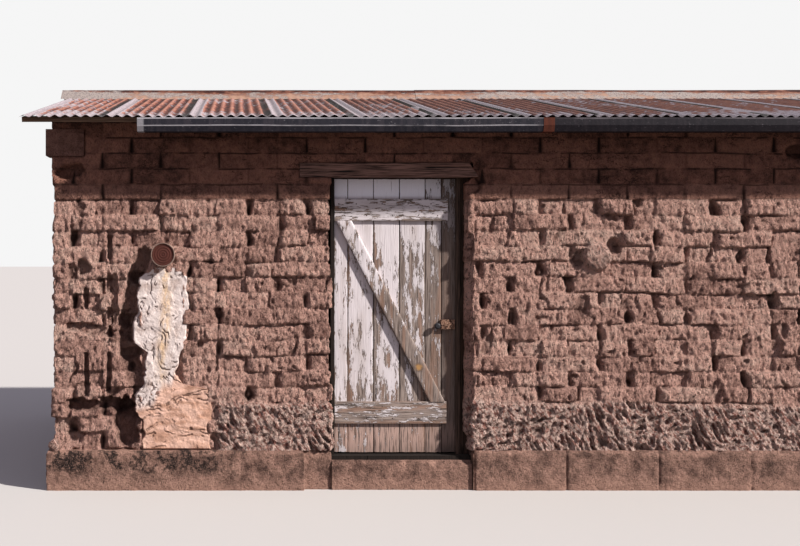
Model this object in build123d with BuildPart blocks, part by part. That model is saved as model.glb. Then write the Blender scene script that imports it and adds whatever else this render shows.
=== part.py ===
"""Adobe house: mud brick walls on a block plinth, a board door and a corrugated iron gable roof.

Millimetres. X runs along the front to the right, Y runs into the house, Z is up.
The origin is the middle of the plan, at the lowest ground the plinth meets.
"""

import os
from math import atan, cos, sin

from build123d import *

# Walls
wall_length = 7000.0
house_depth = 3960.0
wall_thickness = 400.0
wall_top = 2800.0

# Mud bricks: sheltered upper courses, worn ones below, and a splash coat at the foot
course_height = 119.0
brick_length = 445.0
sheltered_course_count = 4
worn_setback = 15.0
coat_top = 660.0
open_joint_width = 24.0
open_joint_height = 95.0
open_joint_depth = 34.0
joint_edge_margin = 120.0

# What rain has washed out of the front: a hollow over the plinth, a groove beside the plaster,
# a chip under the lintel's right end and one brick that is missing high on the right
hollow_x = (-3420.0, -2860.0)
hollow_top = 700.0
hollow_lump_x = -3010.0
hollow_lump_top = 585.0
hollow_depth = 95.0
groove_width = 95.0
groove_top_x = -2885.0
groove_foot_x = -2880.0
groove_bend = (-2960.0, 1230.0)
groove_z = (760.0, 1740.0)
groove_depth = 60.0
chip_width = 55.0
chip_height = 115.0
chip_depth = 60.0
missing_brick_x = (2110.0, 2330.0)
missing_brick_z = (2530.0, 2630.0)
missing_brick_depth = 75.0

# Plinth and floor
plinth_height = 300.0
plinth_step = 40.0
floor_level = 240.0
step_end_x = -1575.0
sill_height = 220.0
sill_step = 15.0

# Doorway
door_centre_x = -834.25
threshold_thickness = 30.0
threshold_setback = 40.0

# Lintel of three planks
lintel_head_gap = 9.0
lintel_height = 107.0
lintel_left_bearing = 243.5
lintel_front_bearing = 53.0
lintel_inner_bearing = 200.0
lintel_front_depth = 130.0
lintel_plank_gap = 1.0
lintel_end_slant = 71.5

# Door leaf of upright boards
leaf_height = 2112.0
leaf_lift = 12.0
leaf_side_gap = 5.5
leaf_recess = 125.0
board_thickness = 22.0
board_widths = (107.0, 199.0, 201.0, 198.0, 127.0, 114.0)
board_gap = 1.0
ledge_thickness = 25.0
ledge_height = 168.0
ledge_top_short = 73.0
ledge_bottom_short = 84.0
top_ledge_drop = 153.0
bottom_ledge_rise = 226.0
brace_width = 122.0
brace_left_inset = 9.0
brace_right_inset = 12.0

# Door hardware
knob_radius = 23.0
knob_face_radius = 13.0
knob_back_length = 10.0
knob_belt_length = 14.0
knob_face_length = 8.0
knob_stem_length = 20.0
knob_stem_radius = 9.0
knob_from_latch_edge = 155.0
knob_height = 978.0
latch_width = 104.0
latch_height = 73.0
latch_thickness = 30.0
latch_from_edge = 20.0
strap_length = 450.0
strap_height = 38.0
strap_thickness = 4.0
strap_inset = 90.0
eye_radius = 10.0
pin_radius = 6.0
pin_clearance = 0.3
pintle_arm_height = 12.0
pintle_foot_width = 20.0

# Door frame
jamb_left_width = 26.0
jamb_left_depth = 52.0
jamb_clearance = 5.0
jamb_right_width = 82.0
jamb_right_depth = 100.0
jamb_latch_gap = 7.0
stop_width = 31.0
stop_thickness = 20.0
stop_cover = 10.0

# Roof
roof_pitch = atan(2.5 / 12.0)
eave_overhang = 280.0
eave_underside = 2800.0
verge_overhang = 195.0
sheet_pitch = 76.2
sheet_cover_pitches = 8
sheet_lap_pitches = 1
sheet_depth = 16.5
sheet_thickness = 1.0
sheet_lap_clearance = 0.4
ridge_gap = 10.0
purlin_width = 89.0
purlin_thickness = 38.0
eave_purlin_setback = 40.0
top_purlin_setback = 60.0
purlin_verge_setback = 15.0
rafter_thickness = 38.0
rafter_depth = 89.0
rafter_tail_depth = 50.0
rafter_spacing = 1100.0
tie_depth = 80.0
rafter_pair_count = 5
plate_width = 100.0
plate_depth = 50.0
plate_end_inset = 200.0
ridge_board_thickness = 25.0
ridge_board_depth = 140.0
pocket_clearance = 6.0
cap_reach = 115.0
cap_rise = 92.0
cap_top_width = 24.0
cap_thickness = 1.2
cap_end_reach = 50.0
cap_joint_x = (-345.0, 2909.0)
cap_lap = 60.0

# Gutter
gutter_start_x = -2819.0
gutter_joint_x = 190.0
gutter_joint_length = 80.0
gutter_back_height = 105.0
gutter_depth = 100.0
gutter_bottom_depth = 85.0
gutter_crease_rise = 45.0
gutter_front_height = 100.0
gutter_lip = 8.0
gutter_thickness = 1.5
gutter_below_sheet = 5.0
gutter_verge_setback = 30.0

# Corner blocks let into the two front corners
corner_block_length = 290.0
corner_block_depth = 190.0
corner_block_bottom = 2543.0
corner_block_height = 203.0
corner_block_out = 46.0
corner_block_proud = 8.0

# Stovepipe thimble, its cap and the plaster round the wall below it
thimble_x = -2649.0
thimble_z = 1790.0
thimble_radius = 89.0
thimble_wall = 5.0
thimble_reach = 80.0
thimble_embedment = 150.0
cap_inset = 8.0
cap_plate_thickness = 4.0
cap_dome_radius = 42.0
cap_dome_height = 5.0
plaster_thickness = 24.0
plaster_top_drop = 90.0
plaster_bottom_above_plinth = 2.0

# Plaster outline: share of its drop from the top, reach left and right of the thimble's axis
plaster_rows = (
    (0.0, 94.0, 122.0),
    (0.07, 175.0, 195.0),
    (0.22, 180.0, 185.0),
    (0.36, 220.0, 177.0),
    (0.48, 141.0, 137.0),
    (0.58, 157.0, 90.0),
    (0.64, 150.0, 150.0),
    (0.67, 206.0, 356.0),
    (0.79, 206.0, 385.0),
    (0.87, 160.0, 341.0),
    (1.0, 175.0, 365.0),
)

# Clearance between pieces that seat on each other
seat_gap = 0.3

# Places worked out from the sizes above
front_y = -house_depth / 2
half_length = wall_length / 2
inner_front_y = front_y + wall_thickness
leaf_width = sum(board_widths)
frame_width = jamb_left_width + leaf_side_gap + jamb_latch_gap + jamb_right_width
door_left = door_centre_x - (leaf_width + frame_width) / 2
door_right = door_centre_x + (leaf_width + frame_width) / 2
threshold_top = sill_height + threshold_thickness
lintel_bottom = threshold_top + leaf_lift + leaf_height + lintel_head_gap
lintel_top = lintel_bottom + lintel_height
worn_top = wall_top - sheltered_course_count * course_height
plaster_left = thimble_x - max(left for _, left, _ in plaster_rows)
plaster_right = thimble_x + max(right for _, _, right in plaster_rows)
pitch_tan = sin(roof_pitch) / cos(roof_pitch)
slope_length = (eave_overhang + house_depth / 2) / cos(roof_pitch)

os.makedirs("parts", exist_ok=True)


def keep(part, name):
    """Label a finished piece and write it to its own file."""
    part.label = name
    export_step(part, f"parts/{name}.step")


def block(x_range, y_range, z_range):
    """A straight block between two corners, as an extruded rectangle."""
    with BuildPart() as piece:
        with BuildSketch(Plane.XY.offset(z_range[0])):
            with BuildLine():
                Polyline(
                    (x_range[0], y_range[0]),
                    (x_range[1], y_range[0]),
                    (x_range[1], y_range[1]),
                    (x_range[0], y_range[1]),
                    close=True,
                )
            make_face()
        extrude(amount=z_range[1] - z_range[0])
    return piece.part


def long_profile(points, x_range):
    """A closed outline in Y and Z, carried along X."""
    with BuildPart() as piece:
        with BuildSketch(Plane.YZ.offset(x_range[0])):
            with BuildLine():
                Polyline(*points, close=True)
            make_face()
        extrude(amount=x_range[1] - x_range[0])
    return piece.part


def front_profile(points, y_range):
    """A closed outline in X and Z, carried along Y."""
    with BuildPart() as piece:
        with BuildSketch(Plane.XZ.offset(-y_range[0])):
            with BuildLine():
                Polyline(*points, close=True)
            make_face()
        extrude(amount=y_range[0] - y_range[1])
    return piece.part


def to_back(part):
    """The same piece on the back half of the house."""
    return mirror(part, about=Plane.XZ)


def under_sheet(y):
    """Height of the sheets' underside plane over a place on the front slope."""
    return eave_underside + (y - front_y + eave_overhang) * pitch_tan


def slope_plane(x):
    """Section plane at x: local x runs up the front slope from the eave, local y stands off it."""
    return Plane(
        origin=(x, front_y - eave_overhang, eave_underside),
        x_dir=(0, cos(roof_pitch), sin(roof_pitch)),
        z_dir=(1, 0, 0),
    )


# Roof edges along the length, set by whole sheets where the wall length allows
sheet_cover = sheet_cover_pitches * sheet_pitch
sheet_width = sheet_cover + sheet_lap_pitches * sheet_pitch
roof_target = wall_length + 2 * verge_overhang
sheet_count = round((roof_target - sheet_lap_pitches * sheet_pitch) / sheet_cover)
roof_length = sheet_count * sheet_cover + sheet_lap_pitches * sheet_pitch
roof_left = -roof_length / 2
rafter_xs = [
    (index - (rafter_pair_count - 1) / 2) * rafter_spacing for index in range(rafter_pair_count)
]

# Rafters with a birdsmouth over the wall plate and a tapered tail
rafter_top_drop = (purlin_thickness + 2 * seat_gap) / cos(roof_pitch)
rafter_plumb_depth = rafter_depth / cos(roof_pitch)
plate_front = front_y + (wall_thickness - plate_width) / 2
seat_level = wall_top + seat_gap


def rafter_top(y):
    """Height of the rafters' upper edge."""
    return under_sheet(y) - rafter_top_drop


def rafter_bottom(y):
    """Height of the rafters' lower edge."""
    return rafter_top(y) - rafter_plumb_depth


def y_where_rafter_bottom_is(z):
    """Place up the slope where the rafters' lower edge reaches a height."""
    return front_y + (z - rafter_bottom(front_y)) / pitch_tan


tail_y = front_y - eave_overhang + eave_purlin_setback
heel_y = plate_front - seat_gap
ridge_cut_y = -ridge_board_thickness / 2 - seat_gap
rafter_outline = [
    (tail_y, rafter_top(tail_y)),
    (tail_y, rafter_top(tail_y) - rafter_tail_depth),
    (front_y, rafter_bottom(front_y)),
    (heel_y, rafter_bottom(heel_y)),
    (heel_y, seat_level),
    (y_where_rafter_bottom_is(seat_level), seat_level),
    (ridge_cut_y, rafter_bottom(ridge_cut_y)),
    (ridge_cut_y, rafter_top(ridge_cut_y)),
]
with BuildPart() as rafters_front:
    for rafter_x in rafter_xs:
        add(long_profile(rafter_outline, (rafter_x - rafter_thickness / 2, rafter_x + rafter_thickness / 2)))
keep(rafters_front.part, "rafters_front")
rafters_back = to_back(rafters_front.part)
keep(rafters_back, "rafters_back")

# Tie beams beside the rafters, from plate to plate
with BuildPart() as tie_beams:
    for rafter_x in rafter_xs:
        tie_left = rafter_x + rafter_thickness / 2 + seat_gap
        add(
            block(
                (tie_left, tie_left + rafter_thickness),
                (plate_front, -plate_front),
                (seat_level, seat_level + tie_depth),
            )
        )
keep(tie_beams.part, "tie_beams")

# Ridge board between the rafters' upper ends
ridge_board_top = under_sheet(ridge_cut_y) - seat_gap
ridge_board_x = (roof_left + purlin_verge_setback, -roof_left - purlin_verge_setback)
ridge_board = block(
    ridge_board_x,
    (-ridge_board_thickness / 2, ridge_board_thickness / 2),
    (ridge_board_top - ridge_board_depth, ridge_board_top),
)
keep(ridge_board, "ridge_board")

# Purlins laid flat on the rafters, run out to the verges
purlin_starts = (
    eave_purlin_setback,
    (slope_length - purlin_width) / 2,
    slope_length - top_purlin_setback - purlin_width,
)


def purlin_set(spread):
    """The three purlins of the front slope, grown all round by spread to cut their pockets."""
    with BuildPart() as purlins:
        for start in purlin_starts:
            with BuildSketch(slope_plane(ridge_board_x[0] - spread)):
                with BuildLine():
                    Polyline(
                        (start - spread, -seat_gap - purlin_thickness - spread),
                        (start + purlin_width + spread, -seat_gap - purlin_thickness - spread),
                        (start + purlin_width + spread, -seat_gap + spread),
                        (start - spread, -seat_gap + spread),
                        close=True,
                    )
                make_face()
            extrude(amount=ridge_board_x[1] - ridge_board_x[0] + 2 * spread)
    return purlins.part


purlins_front = purlin_set(0.0)
keep(purlins_front, "purlins_front")
purlins_back = to_back(purlins_front)
keep(purlins_back, "purlins_back")

# Wall plates let flush into the wall heads
plate_x = (-half_length + plate_end_inset, half_length - plate_end_inset)
wall_plate_front = block(
    plate_x, (plate_front, plate_front + plate_width), (wall_top - plate_depth, wall_top)
)
keep(wall_plate_front, "wall_plate_front")
wall_plate_back = to_back(wall_plate_front)
keep(wall_plate_back, "wall_plate_back")
plate_groove = block(
    (plate_x[0] - seat_gap, plate_x[1] + seat_gap),
    (plate_front - seat_gap, plate_front + plate_width + seat_gap),
    (wall_top - plate_depth - seat_gap, wall_top + plate_depth),
)
with BuildPart() as rafter_pockets:
    for rafter_x in rafter_xs:
        add(
            block(
                (
                    rafter_x - rafter_thickness / 2 - pocket_clearance,
                    rafter_x + rafter_thickness / 2 + pocket_clearance,
                ),
                (front_y - plinth_step, plate_front),
                (rafter_bottom(front_y) - pocket_clearance, wall_top + plate_depth),
            )
        )

# Corrugated sheets, each with its right edge over the left edge of the next
lap_rise = sheet_thickness + sheet_lap_clearance
sheet_tilt = lap_rise / sheet_cover
sheet_length = slope_length - ridge_gap


def sheet_outline():
    """Both faces of one sheet across the corrugations: valleys and crests of equal flats."""
    pitches = sheet_cover_pitches + sheet_lap_pitches
    bends = [(0.0, 0.0)]
    for pitch in range(pitches):
        for share, height in ((0.125, 0.0), (0.375, sheet_depth), (0.625, sheet_depth), (0.875, 0.0)):
            bends.append(((pitch + share) * sheet_pitch, height))
    bends.append((pitches * sheet_pitch, 0.0))
    lower = [(along, height + sheet_tilt * along) for along, height in bends]
    upper = [(along, height + sheet_thickness) for along, height in reversed(lower)]
    return lower + upper


with BuildPart() as roof_sheets_front:
    for sheet_index in range(sheet_count):
        sheet_top = Plane(
            origin=(
                roof_left + sheet_index * sheet_cover,
                front_y - eave_overhang + sheet_length * cos(roof_pitch),
                eave_underside + sheet_length * sin(roof_pitch),
            ),
            x_dir=(1, 0, 0),
            z_dir=(0, -cos(roof_pitch), -sin(roof_pitch)),
        )
        with BuildSketch(sheet_top):
            with BuildLine():
                Polyline(*sheet_outline(), close=True)
            make_face()
        extrude(amount=sheet_length)
keep(roof_sheets_front.part, "roof_sheets_front")
roof_sheets_back = to_back(roof_sheets_front.part)
keep(roof_sheets_back, "roof_sheets_back")

# Ridge caps: steep bent sheets whose edges stand on the crests, each lapped over the one before
crest_height = sheet_depth + sheet_thickness + lap_rise * sheet_width / sheet_cover
cap_edge_z = under_sheet(-cap_reach) + (crest_height + seat_gap) / cos(roof_pitch)
cap_slope = atan(cap_rise / (cap_reach - cap_top_width / 2))
cap_upright = cap_thickness / cos(cap_slope)


def ridge_cap(x_range, lift):
    """One length of ridge cap, raised by lift where it lies over another."""
    edge = cap_edge_z + lift
    lower = [
        (-cap_reach, edge),
        (-cap_top_width / 2, edge + cap_rise),
        (cap_top_width / 2, edge + cap_rise),
        (cap_reach, edge),
    ]
    upper = [(y, z + cap_upright) for y, z in reversed(lower)]
    return long_profile(lower + upper, x_range)


cap_ends = [roof_left - cap_end_reach, *cap_joint_x, -roof_left + cap_end_reach]
cap_lift = cap_upright + seat_gap
for cap_index, cap_name in enumerate(("ridge_cap_left", "ridge_cap_middle", "ridge_cap_right")):
    cap_start = cap_ends[cap_index] - (cap_lap if cap_index else 0.0)
    keep(ridge_cap((cap_start, cap_ends[cap_index + 1]), cap_index * cap_lift), cap_name)

# Gutter under the front eave
gutter_back_y = tail_y - seat_gap
gutter_top = eave_underside - gutter_below_sheet
gutter_bottom = gutter_top - gutter_back_height


def gutter_path(grow):
    """Outer line of the trough from its back edge to its lip, grown by grow for the sleeve."""
    return [
        (gutter_back_y, gutter_top),
        (gutter_back_y, gutter_bottom - grow),
        (gutter_back_y - gutter_bottom_depth - grow, gutter_bottom - grow),
        (gutter_back_y - gutter_depth - grow, gutter_bottom + gutter_crease_rise),
        (gutter_back_y - gutter_depth - grow, gutter_bottom + gutter_front_height),
    ]


def trough(x_range, path, thickness):
    """Open trough of sheet: its outer line, then the same line stepped in by thickness."""
    (back_y, top), (_, low), (bottom_y, _), (front_face_y, crease), (_, lip) = path
    outline = path + [
        (front_face_y + gutter_lip, lip),
        (front_face_y + gutter_lip, lip - thickness),
        (front_face_y + thickness, lip - thickness),
        (front_face_y + thickness, crease),
        (bottom_y + thickness, low + thickness),
        (back_y - thickness, low + thickness),
        (back_y - thickness, top),
    ]
    return long_profile(outline, x_range)


def stop_end(x):
    """Closed end of the trough, as one plate across its section."""
    outline = gutter_path(0.0)
    outline[0] = (gutter_back_y, gutter_bottom + gutter_front_height)
    return long_profile(outline, (x, x + gutter_thickness))


gutter_end_x = -roof_left - gutter_verge_setback
with BuildPart() as gutter_left:
    add(trough((gutter_start_x, gutter_joint_x - seat_gap), gutter_path(0.0), gutter_thickness))
    add(stop_end(gutter_start_x))
keep(gutter_left.part, "gutter_left")
with BuildPart() as gutter_right:
    add(trough((gutter_joint_x + seat_gap, gutter_end_x), gutter_path(0.0), gutter_thickness))
    add(stop_end(gutter_end_x - gutter_thickness))
keep(gutter_right.part, "gutter_right")
sleeve_outer = gutter_path(seat_gap + gutter_thickness)[1:]
sleeve_inner = gutter_path(seat_gap)[1:]
gutter_joint = long_profile(
    sleeve_outer + sleeve_inner[::-1],
    (gutter_joint_x - gutter_joint_length / 2, gutter_joint_x + gutter_joint_length / 2),
)
keep(gutter_joint, "gutter_joint")

# Plinth, in one run for each side, the long sides taking the corners
plinth_left_x = -half_length - plinth_step
with BuildPart() as plinth_front_left:
    with BuildSketch(Plane.XY):
        with BuildLine():
            Polyline(
                (plinth_left_x, front_y - plinth_step),
                (step_end_x, front_y - plinth_step),
                (step_end_x, front_y),
                (door_left, front_y),
                (door_left, inner_front_y),
                (plinth_left_x, inner_front_y),
                close=True,
            )
        make_face()
    extrude(amount=plinth_height)
keep(plinth_front_left.part, "plinth_front_left")
plinth_front_right = block(
    (door_right, -plinth_left_x), (front_y - plinth_step, inner_front_y), (0.0, plinth_height)
)
keep(plinth_front_right, "plinth_front_right")
plinth_door_sill = block(
    (door_left, door_right), (front_y - sill_step, inner_front_y), (0.0, sill_height)
)
keep(plinth_door_sill, "plinth_door_sill")
plinth_back = block(
    (plinth_left_x, -plinth_left_x), (-inner_front_y, -front_y + plinth_step), (0.0, plinth_height)
)
keep(plinth_back, "plinth_back")
inner_left_x = -half_length + wall_thickness
plinth_left = block(
    (plinth_left_x, inner_left_x), (inner_front_y, -inner_front_y), (0.0, plinth_height)
)
keep(plinth_left, "plinth_left")
plinth_right = mirror(plinth_left, about=Plane.YZ)
keep(plinth_right, "plinth_right")
floor = block((inner_left_x, -inner_left_x), (inner_front_y, -inner_front_y), (0.0, floor_level))
keep(floor, "floor")
door_threshold = block(
    (door_left, door_right),
    (front_y + threshold_setback, inner_front_y),
    (sill_height, threshold_top),
)
keep(door_threshold, "door_threshold")

# Lintel planks and the pocket that they bear in
lintel_left_x = door_left - lintel_left_bearing
lintel_front_right_x = door_right + lintel_front_bearing
lintel_inner_right_x = door_right + lintel_inner_bearing
lintel_front_back_y = front_y + lintel_front_depth
inner_plank_depth = (wall_thickness - lintel_front_depth) / 2 - lintel_plank_gap
lintel_front = front_profile(
    [
        (lintel_left_x, lintel_bottom),
        (lintel_front_right_x, lintel_bottom),
        (lintel_front_right_x - lintel_end_slant, lintel_top),
        (lintel_left_x, lintel_top),
    ],
    (front_y, lintel_front_back_y),
)
keep(lintel_front, "lintel_front")
middle_plank_y = lintel_front_back_y + lintel_plank_gap
lintel_middle = block(
    (lintel_left_x, lintel_inner_right_x),
    (middle_plank_y, middle_plank_y + inner_plank_depth),
    (lintel_bottom, lintel_top),
)
keep(lintel_middle, "lintel_middle")
lintel_back = block(
    (lintel_left_x, lintel_inner_right_x),
    (inner_front_y - inner_plank_depth, inner_front_y),
    (lintel_bottom, lintel_top),
)
keep(lintel_back, "lintel_back")
lintel_pocket_z = (lintel_bottom, lintel_top)
left_pocket = block(
    (lintel_left_x - seat_gap, door_left), (front_y, inner_front_y), lintel_pocket_z
)
with BuildPart() as right_pocket:
    add(block((door_right, lintel_front_right_x + seat_gap), (front_y, inner_front_y), lintel_pocket_z))
    add(
        block(
            (door_right, lintel_inner_right_x + seat_gap),
            (lintel_front_back_y + seat_gap, inner_front_y),
            lintel_pocket_z,
        )
    )

# Corner blocks and the notches that they sit in
corner_x = -half_length - corner_block_out
corner_y = front_y - corner_block_proud
corner_block_left = block(
    (corner_x, corner_x + corner_block_length),
    (corner_y, corner_y + corner_block_depth),
    (corner_block_bottom, corner_block_bottom + corner_block_height),
)
keep(corner_block_left, "corner_block_left")
corner_block_right = mirror(corner_block_left, about=Plane.YZ)
keep(corner_block_right, "corner_block_right")
corner_notch_left = block(
    (corner_x, corner_x + corner_block_length + seat_gap),
    (corner_y, corner_y + corner_block_depth + seat_gap),
    (corner_block_bottom, corner_block_bottom + corner_block_height + seat_gap),
)
corner_notch_right = mirror(corner_notch_left, about=Plane.YZ)

# Stovepipe thimble let into the wall, and its ribbed cap
thimble_axis = Plane(origin=(thimble_x, front_y, thimble_z), x_dir=(1, 0, 0), z_dir=(0, -1, 0))
with BuildPart() as thimble_hole:
    with BuildSketch(thimble_axis.offset(-thimble_embedment)):
        Circle(thimble_radius + seat_gap)
    extrude(amount=thimble_embedment + thimble_reach)
with BuildPart() as stovepipe_thimble:
    with BuildSketch(thimble_axis.offset(-thimble_embedment + seat_gap)):
        Circle(thimble_radius)
        Circle(thimble_radius - thimble_wall, mode=Mode.SUBTRACT)
    extrude(amount=thimble_embedment - seat_gap + thimble_reach)
keep(stovepipe_thimble.part, "stovepipe_thimble")
cap_plane = thimble_axis.offset(thimble_reach - cap_inset - cap_plate_thickness)
with BuildPart() as stovepipe_cap:
    with BuildSketch(cap_plane):
        Circle(thimble_radius - thimble_wall - seat_gap)
    extrude(amount=cap_plate_thickness)
    with BuildSketch(cap_plane):
        Circle(cap_dome_radius)
    extrude(amount=cap_plate_thickness + cap_dome_height)
keep(stovepipe_cap.part, "stovepipe_cap")

# Plaster coat below the thimble, a ragged tongue down to the plinth
plaster_top = thimble_z - plaster_top_drop
plaster_bottom = plinth_height + plaster_bottom_above_plinth
plaster_drop = plaster_top - plaster_bottom
plaster_left_side = [
    (thimble_x - left, plaster_top - share * plaster_drop) for share, left, _ in plaster_rows
]
plaster_right_side = [
    (thimble_x + right, plaster_top - share * plaster_drop) for share, _, right in plaster_rows
]
plaster_patch = front_profile(
    plaster_left_side + plaster_right_side[::-1],
    (front_y + worn_setback - plaster_thickness, front_y + worn_setback),
)
keep(plaster_patch, "plaster_patch")

# What rain has taken off the walls' outer faces below the sheltered courses
worn_z = (plinth_height, worn_top)
with BuildPart() as worn_zone:
    add(
        block(
            (-half_length - worn_setback, half_length + worn_setback),
            (front_y - worn_setback, -front_y + worn_setback),
            worn_z,
        )
    )
    add(
        block(
            (-half_length + worn_setback, half_length - worn_setback),
            (front_y + worn_setback, -front_y - worn_setback),
            worn_z,
        ),
        mode=Mode.SUBTRACT,
    )
    add(
        block(
            (plaster_right, half_length + worn_setback),
            (front_y - worn_setback, -front_y + worn_setback),
            (plinth_height, coat_top),
        ),
        mode=Mode.SUBTRACT,
    )


def open_joints(x_range):
    """Upright joints that the rain has opened in the worn courses of a front between two places.

    The bricks are in running bond, and two joints in every five are open.
    """
    first_course = sheltered_course_count + 1
    last_course = int((wall_top - coat_top) / course_height)
    reach = int(half_length / brick_length) + 1
    places = []
    for course in range(first_course, last_course):
        for brick in range(-reach, reach + 1):
            x = (brick + 0.5 * (course % 2)) * brick_length
            inside = x_range[0] + joint_edge_margin < x < x_range[1] - joint_edge_margin
            if inside and (3 * course + 2 * brick) % 5 < 2:
                places.append((x, wall_top - (course + 0.5) * course_height))
    with BuildPart() as joints:
        with BuildSketch(Plane.XZ.offset(-front_y - worn_setback - open_joint_depth)):
            with Locations(*places):
                Rectangle(open_joint_width, open_joint_height)
        extrude(amount=open_joint_depth + 2 * worn_setback)
    return joints.part


with BuildPart() as washed_out:
    add(
        front_profile(
            [
                (hollow_x[0], hollow_lump_top),
                (hollow_lump_x, hollow_lump_top),
                (hollow_lump_x, plinth_height),
                (hollow_x[1], plinth_height),
                (hollow_x[1], hollow_top),
                (hollow_x[0], hollow_top),
            ],
            (front_y, front_y + hollow_depth),
        )
    )
    add(
        front_profile(
            [
                (groove_foot_x, groove_z[0]),
                (groove_bend[0] + groove_width, groove_bend[1]),
                (groove_top_x + groove_width, groove_z[1]),
                (groove_top_x, groove_z[1]),
                (groove_bend[0], groove_bend[1]),
                (groove_foot_x - groove_width, groove_z[0]),
            ],
            (front_y, front_y + groove_depth),
        )
    )
lintel_chip = block(
    (door_right, door_right + chip_width),
    (front_y, front_y + chip_depth),
    (lintel_bottom - chip_height, lintel_bottom),
)
missing_brick = block(
    missing_brick_x, (front_y, front_y + missing_brick_depth), missing_brick_z
)

# Front wall in three pieces round the doorway
with BuildPart() as front_wall_left:
    add(block((-half_length, door_left), (front_y, inner_front_y), (plinth_height, wall_top)))
    add(worn_zone.part, mode=Mode.SUBTRACT)
    add(open_joints((-half_length, plaster_left)), mode=Mode.SUBTRACT)
    add(open_joints((plaster_right, door_left)), mode=Mode.SUBTRACT)
    add(washed_out.part, mode=Mode.SUBTRACT)
    add(left_pocket, mode=Mode.SUBTRACT)
    add(corner_notch_left, mode=Mode.SUBTRACT)
    add(thimble_hole.part, mode=Mode.SUBTRACT)
    add(plate_groove, mode=Mode.SUBTRACT)
    add(rafter_pockets.part, mode=Mode.SUBTRACT)
keep(front_wall_left.part, "front_wall_left")
with BuildPart() as front_wall_over_door:
    add(block((door_left, door_right), (front_y, inner_front_y), (lintel_top, wall_top)))
    add(plate_groove, mode=Mode.SUBTRACT)
    add(rafter_pockets.part, mode=Mode.SUBTRACT)
keep(front_wall_over_door.part, "front_wall_over_door")
with BuildPart() as front_wall_right:
    add(block((door_right, half_length), (front_y, inner_front_y), (plinth_height, wall_top)))
    add(worn_zone.part, mode=Mode.SUBTRACT)
    add(open_joints((door_right, half_length)), mode=Mode.SUBTRACT)
    add(lintel_chip, mode=Mode.SUBTRACT)
    add(missing_brick, mode=Mode.SUBTRACT)
    add(right_pocket.part, mode=Mode.SUBTRACT)
    add(corner_notch_right, mode=Mode.SUBTRACT)
    add(plate_groove, mode=Mode.SUBTRACT)
    add(rafter_pockets.part, mode=Mode.SUBTRACT)
keep(front_wall_right.part, "front_wall_right")

# Back wall
with BuildPart() as back_wall:
    add(block((-half_length, half_length), (-inner_front_y, -front_y), (plinth_height, wall_top)))
    add(worn_zone.part, mode=Mode.SUBTRACT)
    add(open_joints((-half_length, half_length)).rotate(Axis.Z, 180), mode=Mode.SUBTRACT)
    add(to_back(plate_groove), mode=Mode.SUBTRACT)
    add(to_back(rafter_pockets.part), mode=Mode.SUBTRACT)
keep(back_wall.part, "back_wall")

# Gable walls, with pockets for the purlins and the ridge board
purlin_pockets = purlin_set(seat_gap)
ridge_pocket = block(
    (ridge_board_x[0] - seat_gap, ridge_board_x[1] + seat_gap),
    (-ridge_board_thickness / 2 - seat_gap, ridge_board_thickness / 2 + seat_gap),
    (ridge_board_top - ridge_board_depth - seat_gap, ridge_board_top + ridge_board_depth),
)
gable_drop = seat_gap / cos(roof_pitch)
gable_outline = [
    (inner_front_y, plinth_height),
    (-inner_front_y, plinth_height),
    (-inner_front_y, wall_top),
    (-front_y, wall_top),
    (-front_y, under_sheet(front_y) - gable_drop),
    (0.0, under_sheet(0.0) - gable_drop),
    (front_y, under_sheet(front_y) - gable_drop),
    (front_y, wall_top),
    (inner_front_y, wall_top),
]
with BuildPart() as left_gable_wall:
    add(long_profile(gable_outline, (-half_length, inner_left_x)))
    add(worn_zone.part, mode=Mode.SUBTRACT)
    add(purlin_pockets, mode=Mode.SUBTRACT)
    add(to_back(purlin_pockets), mode=Mode.SUBTRACT)
    add(ridge_pocket, mode=Mode.SUBTRACT)
keep(left_gable_wall.part, "left_gable_wall")
right_gable_wall = mirror(left_gable_wall.part, about=Plane.YZ)
keep(right_gable_wall, "right_gable_wall")

# Door frame
leaf_left = door_left + jamb_left_width + leaf_side_gap
leaf_right = leaf_left + leaf_width
leaf_bottom = threshold_top + leaf_lift
leaf_top = leaf_bottom + leaf_height
leaf_front_y = front_y + leaf_recess
leaf_back_y = leaf_front_y + board_thickness
jamb_left_back_y = leaf_back_y - jamb_clearance
frame_z = (threshold_top, lintel_bottom)
door_jamb_left = block(
    (door_left, door_left + jamb_left_width),
    (jamb_left_back_y - jamb_left_depth, jamb_left_back_y),
    frame_z,
)
keep(door_jamb_left, "door_jamb_left")
stop_back_y = leaf_front_y - jamb_clearance
door_jamb_right = block(
    (leaf_right + jamb_latch_gap, door_right),
    (stop_back_y, stop_back_y + jamb_right_depth),
    frame_z,
)
keep(door_jamb_right, "door_jamb_right")
door_stop = block(
    (leaf_right - stop_cover, leaf_right - stop_cover + stop_width),
    (stop_back_y - stop_thickness, stop_back_y),
    frame_z,
)
keep(door_stop, "door_stop")

# Door hinges: straps with eyes on the leaf, pintles on the left jamb
hinge_x = leaf_left - leaf_side_gap / 2
hinge_y = leaf_back_y + eye_radius
ledge_top_z = leaf_top - top_ledge_drop
ledge_bottom_z = leaf_bottom + bottom_ledge_rise
strap_levels = (leaf_bottom + strap_inset, leaf_top - strap_inset - strap_height)
with BuildPart() as door_straps:
    for strap_z in strap_levels:
        with BuildSketch(Plane.XY.offset(strap_z)):
            with BuildLine():
                Polyline(
                    (hinge_x, leaf_back_y),
                    (leaf_left + strap_length, leaf_back_y),
                    (leaf_left + strap_length, leaf_back_y + strap_thickness),
                    (hinge_x, leaf_back_y + strap_thickness),
                    close=True,
                )
            make_face()
            with Locations((hinge_x, hinge_y)):
                Circle(eye_radius)
                Circle(pin_radius + pin_clearance, mode=Mode.SUBTRACT)
        extrude(amount=strap_height)
keep(door_straps.part, "door_straps")
arm_y = (hinge_y - pin_radius, hinge_y + pin_radius)
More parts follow.
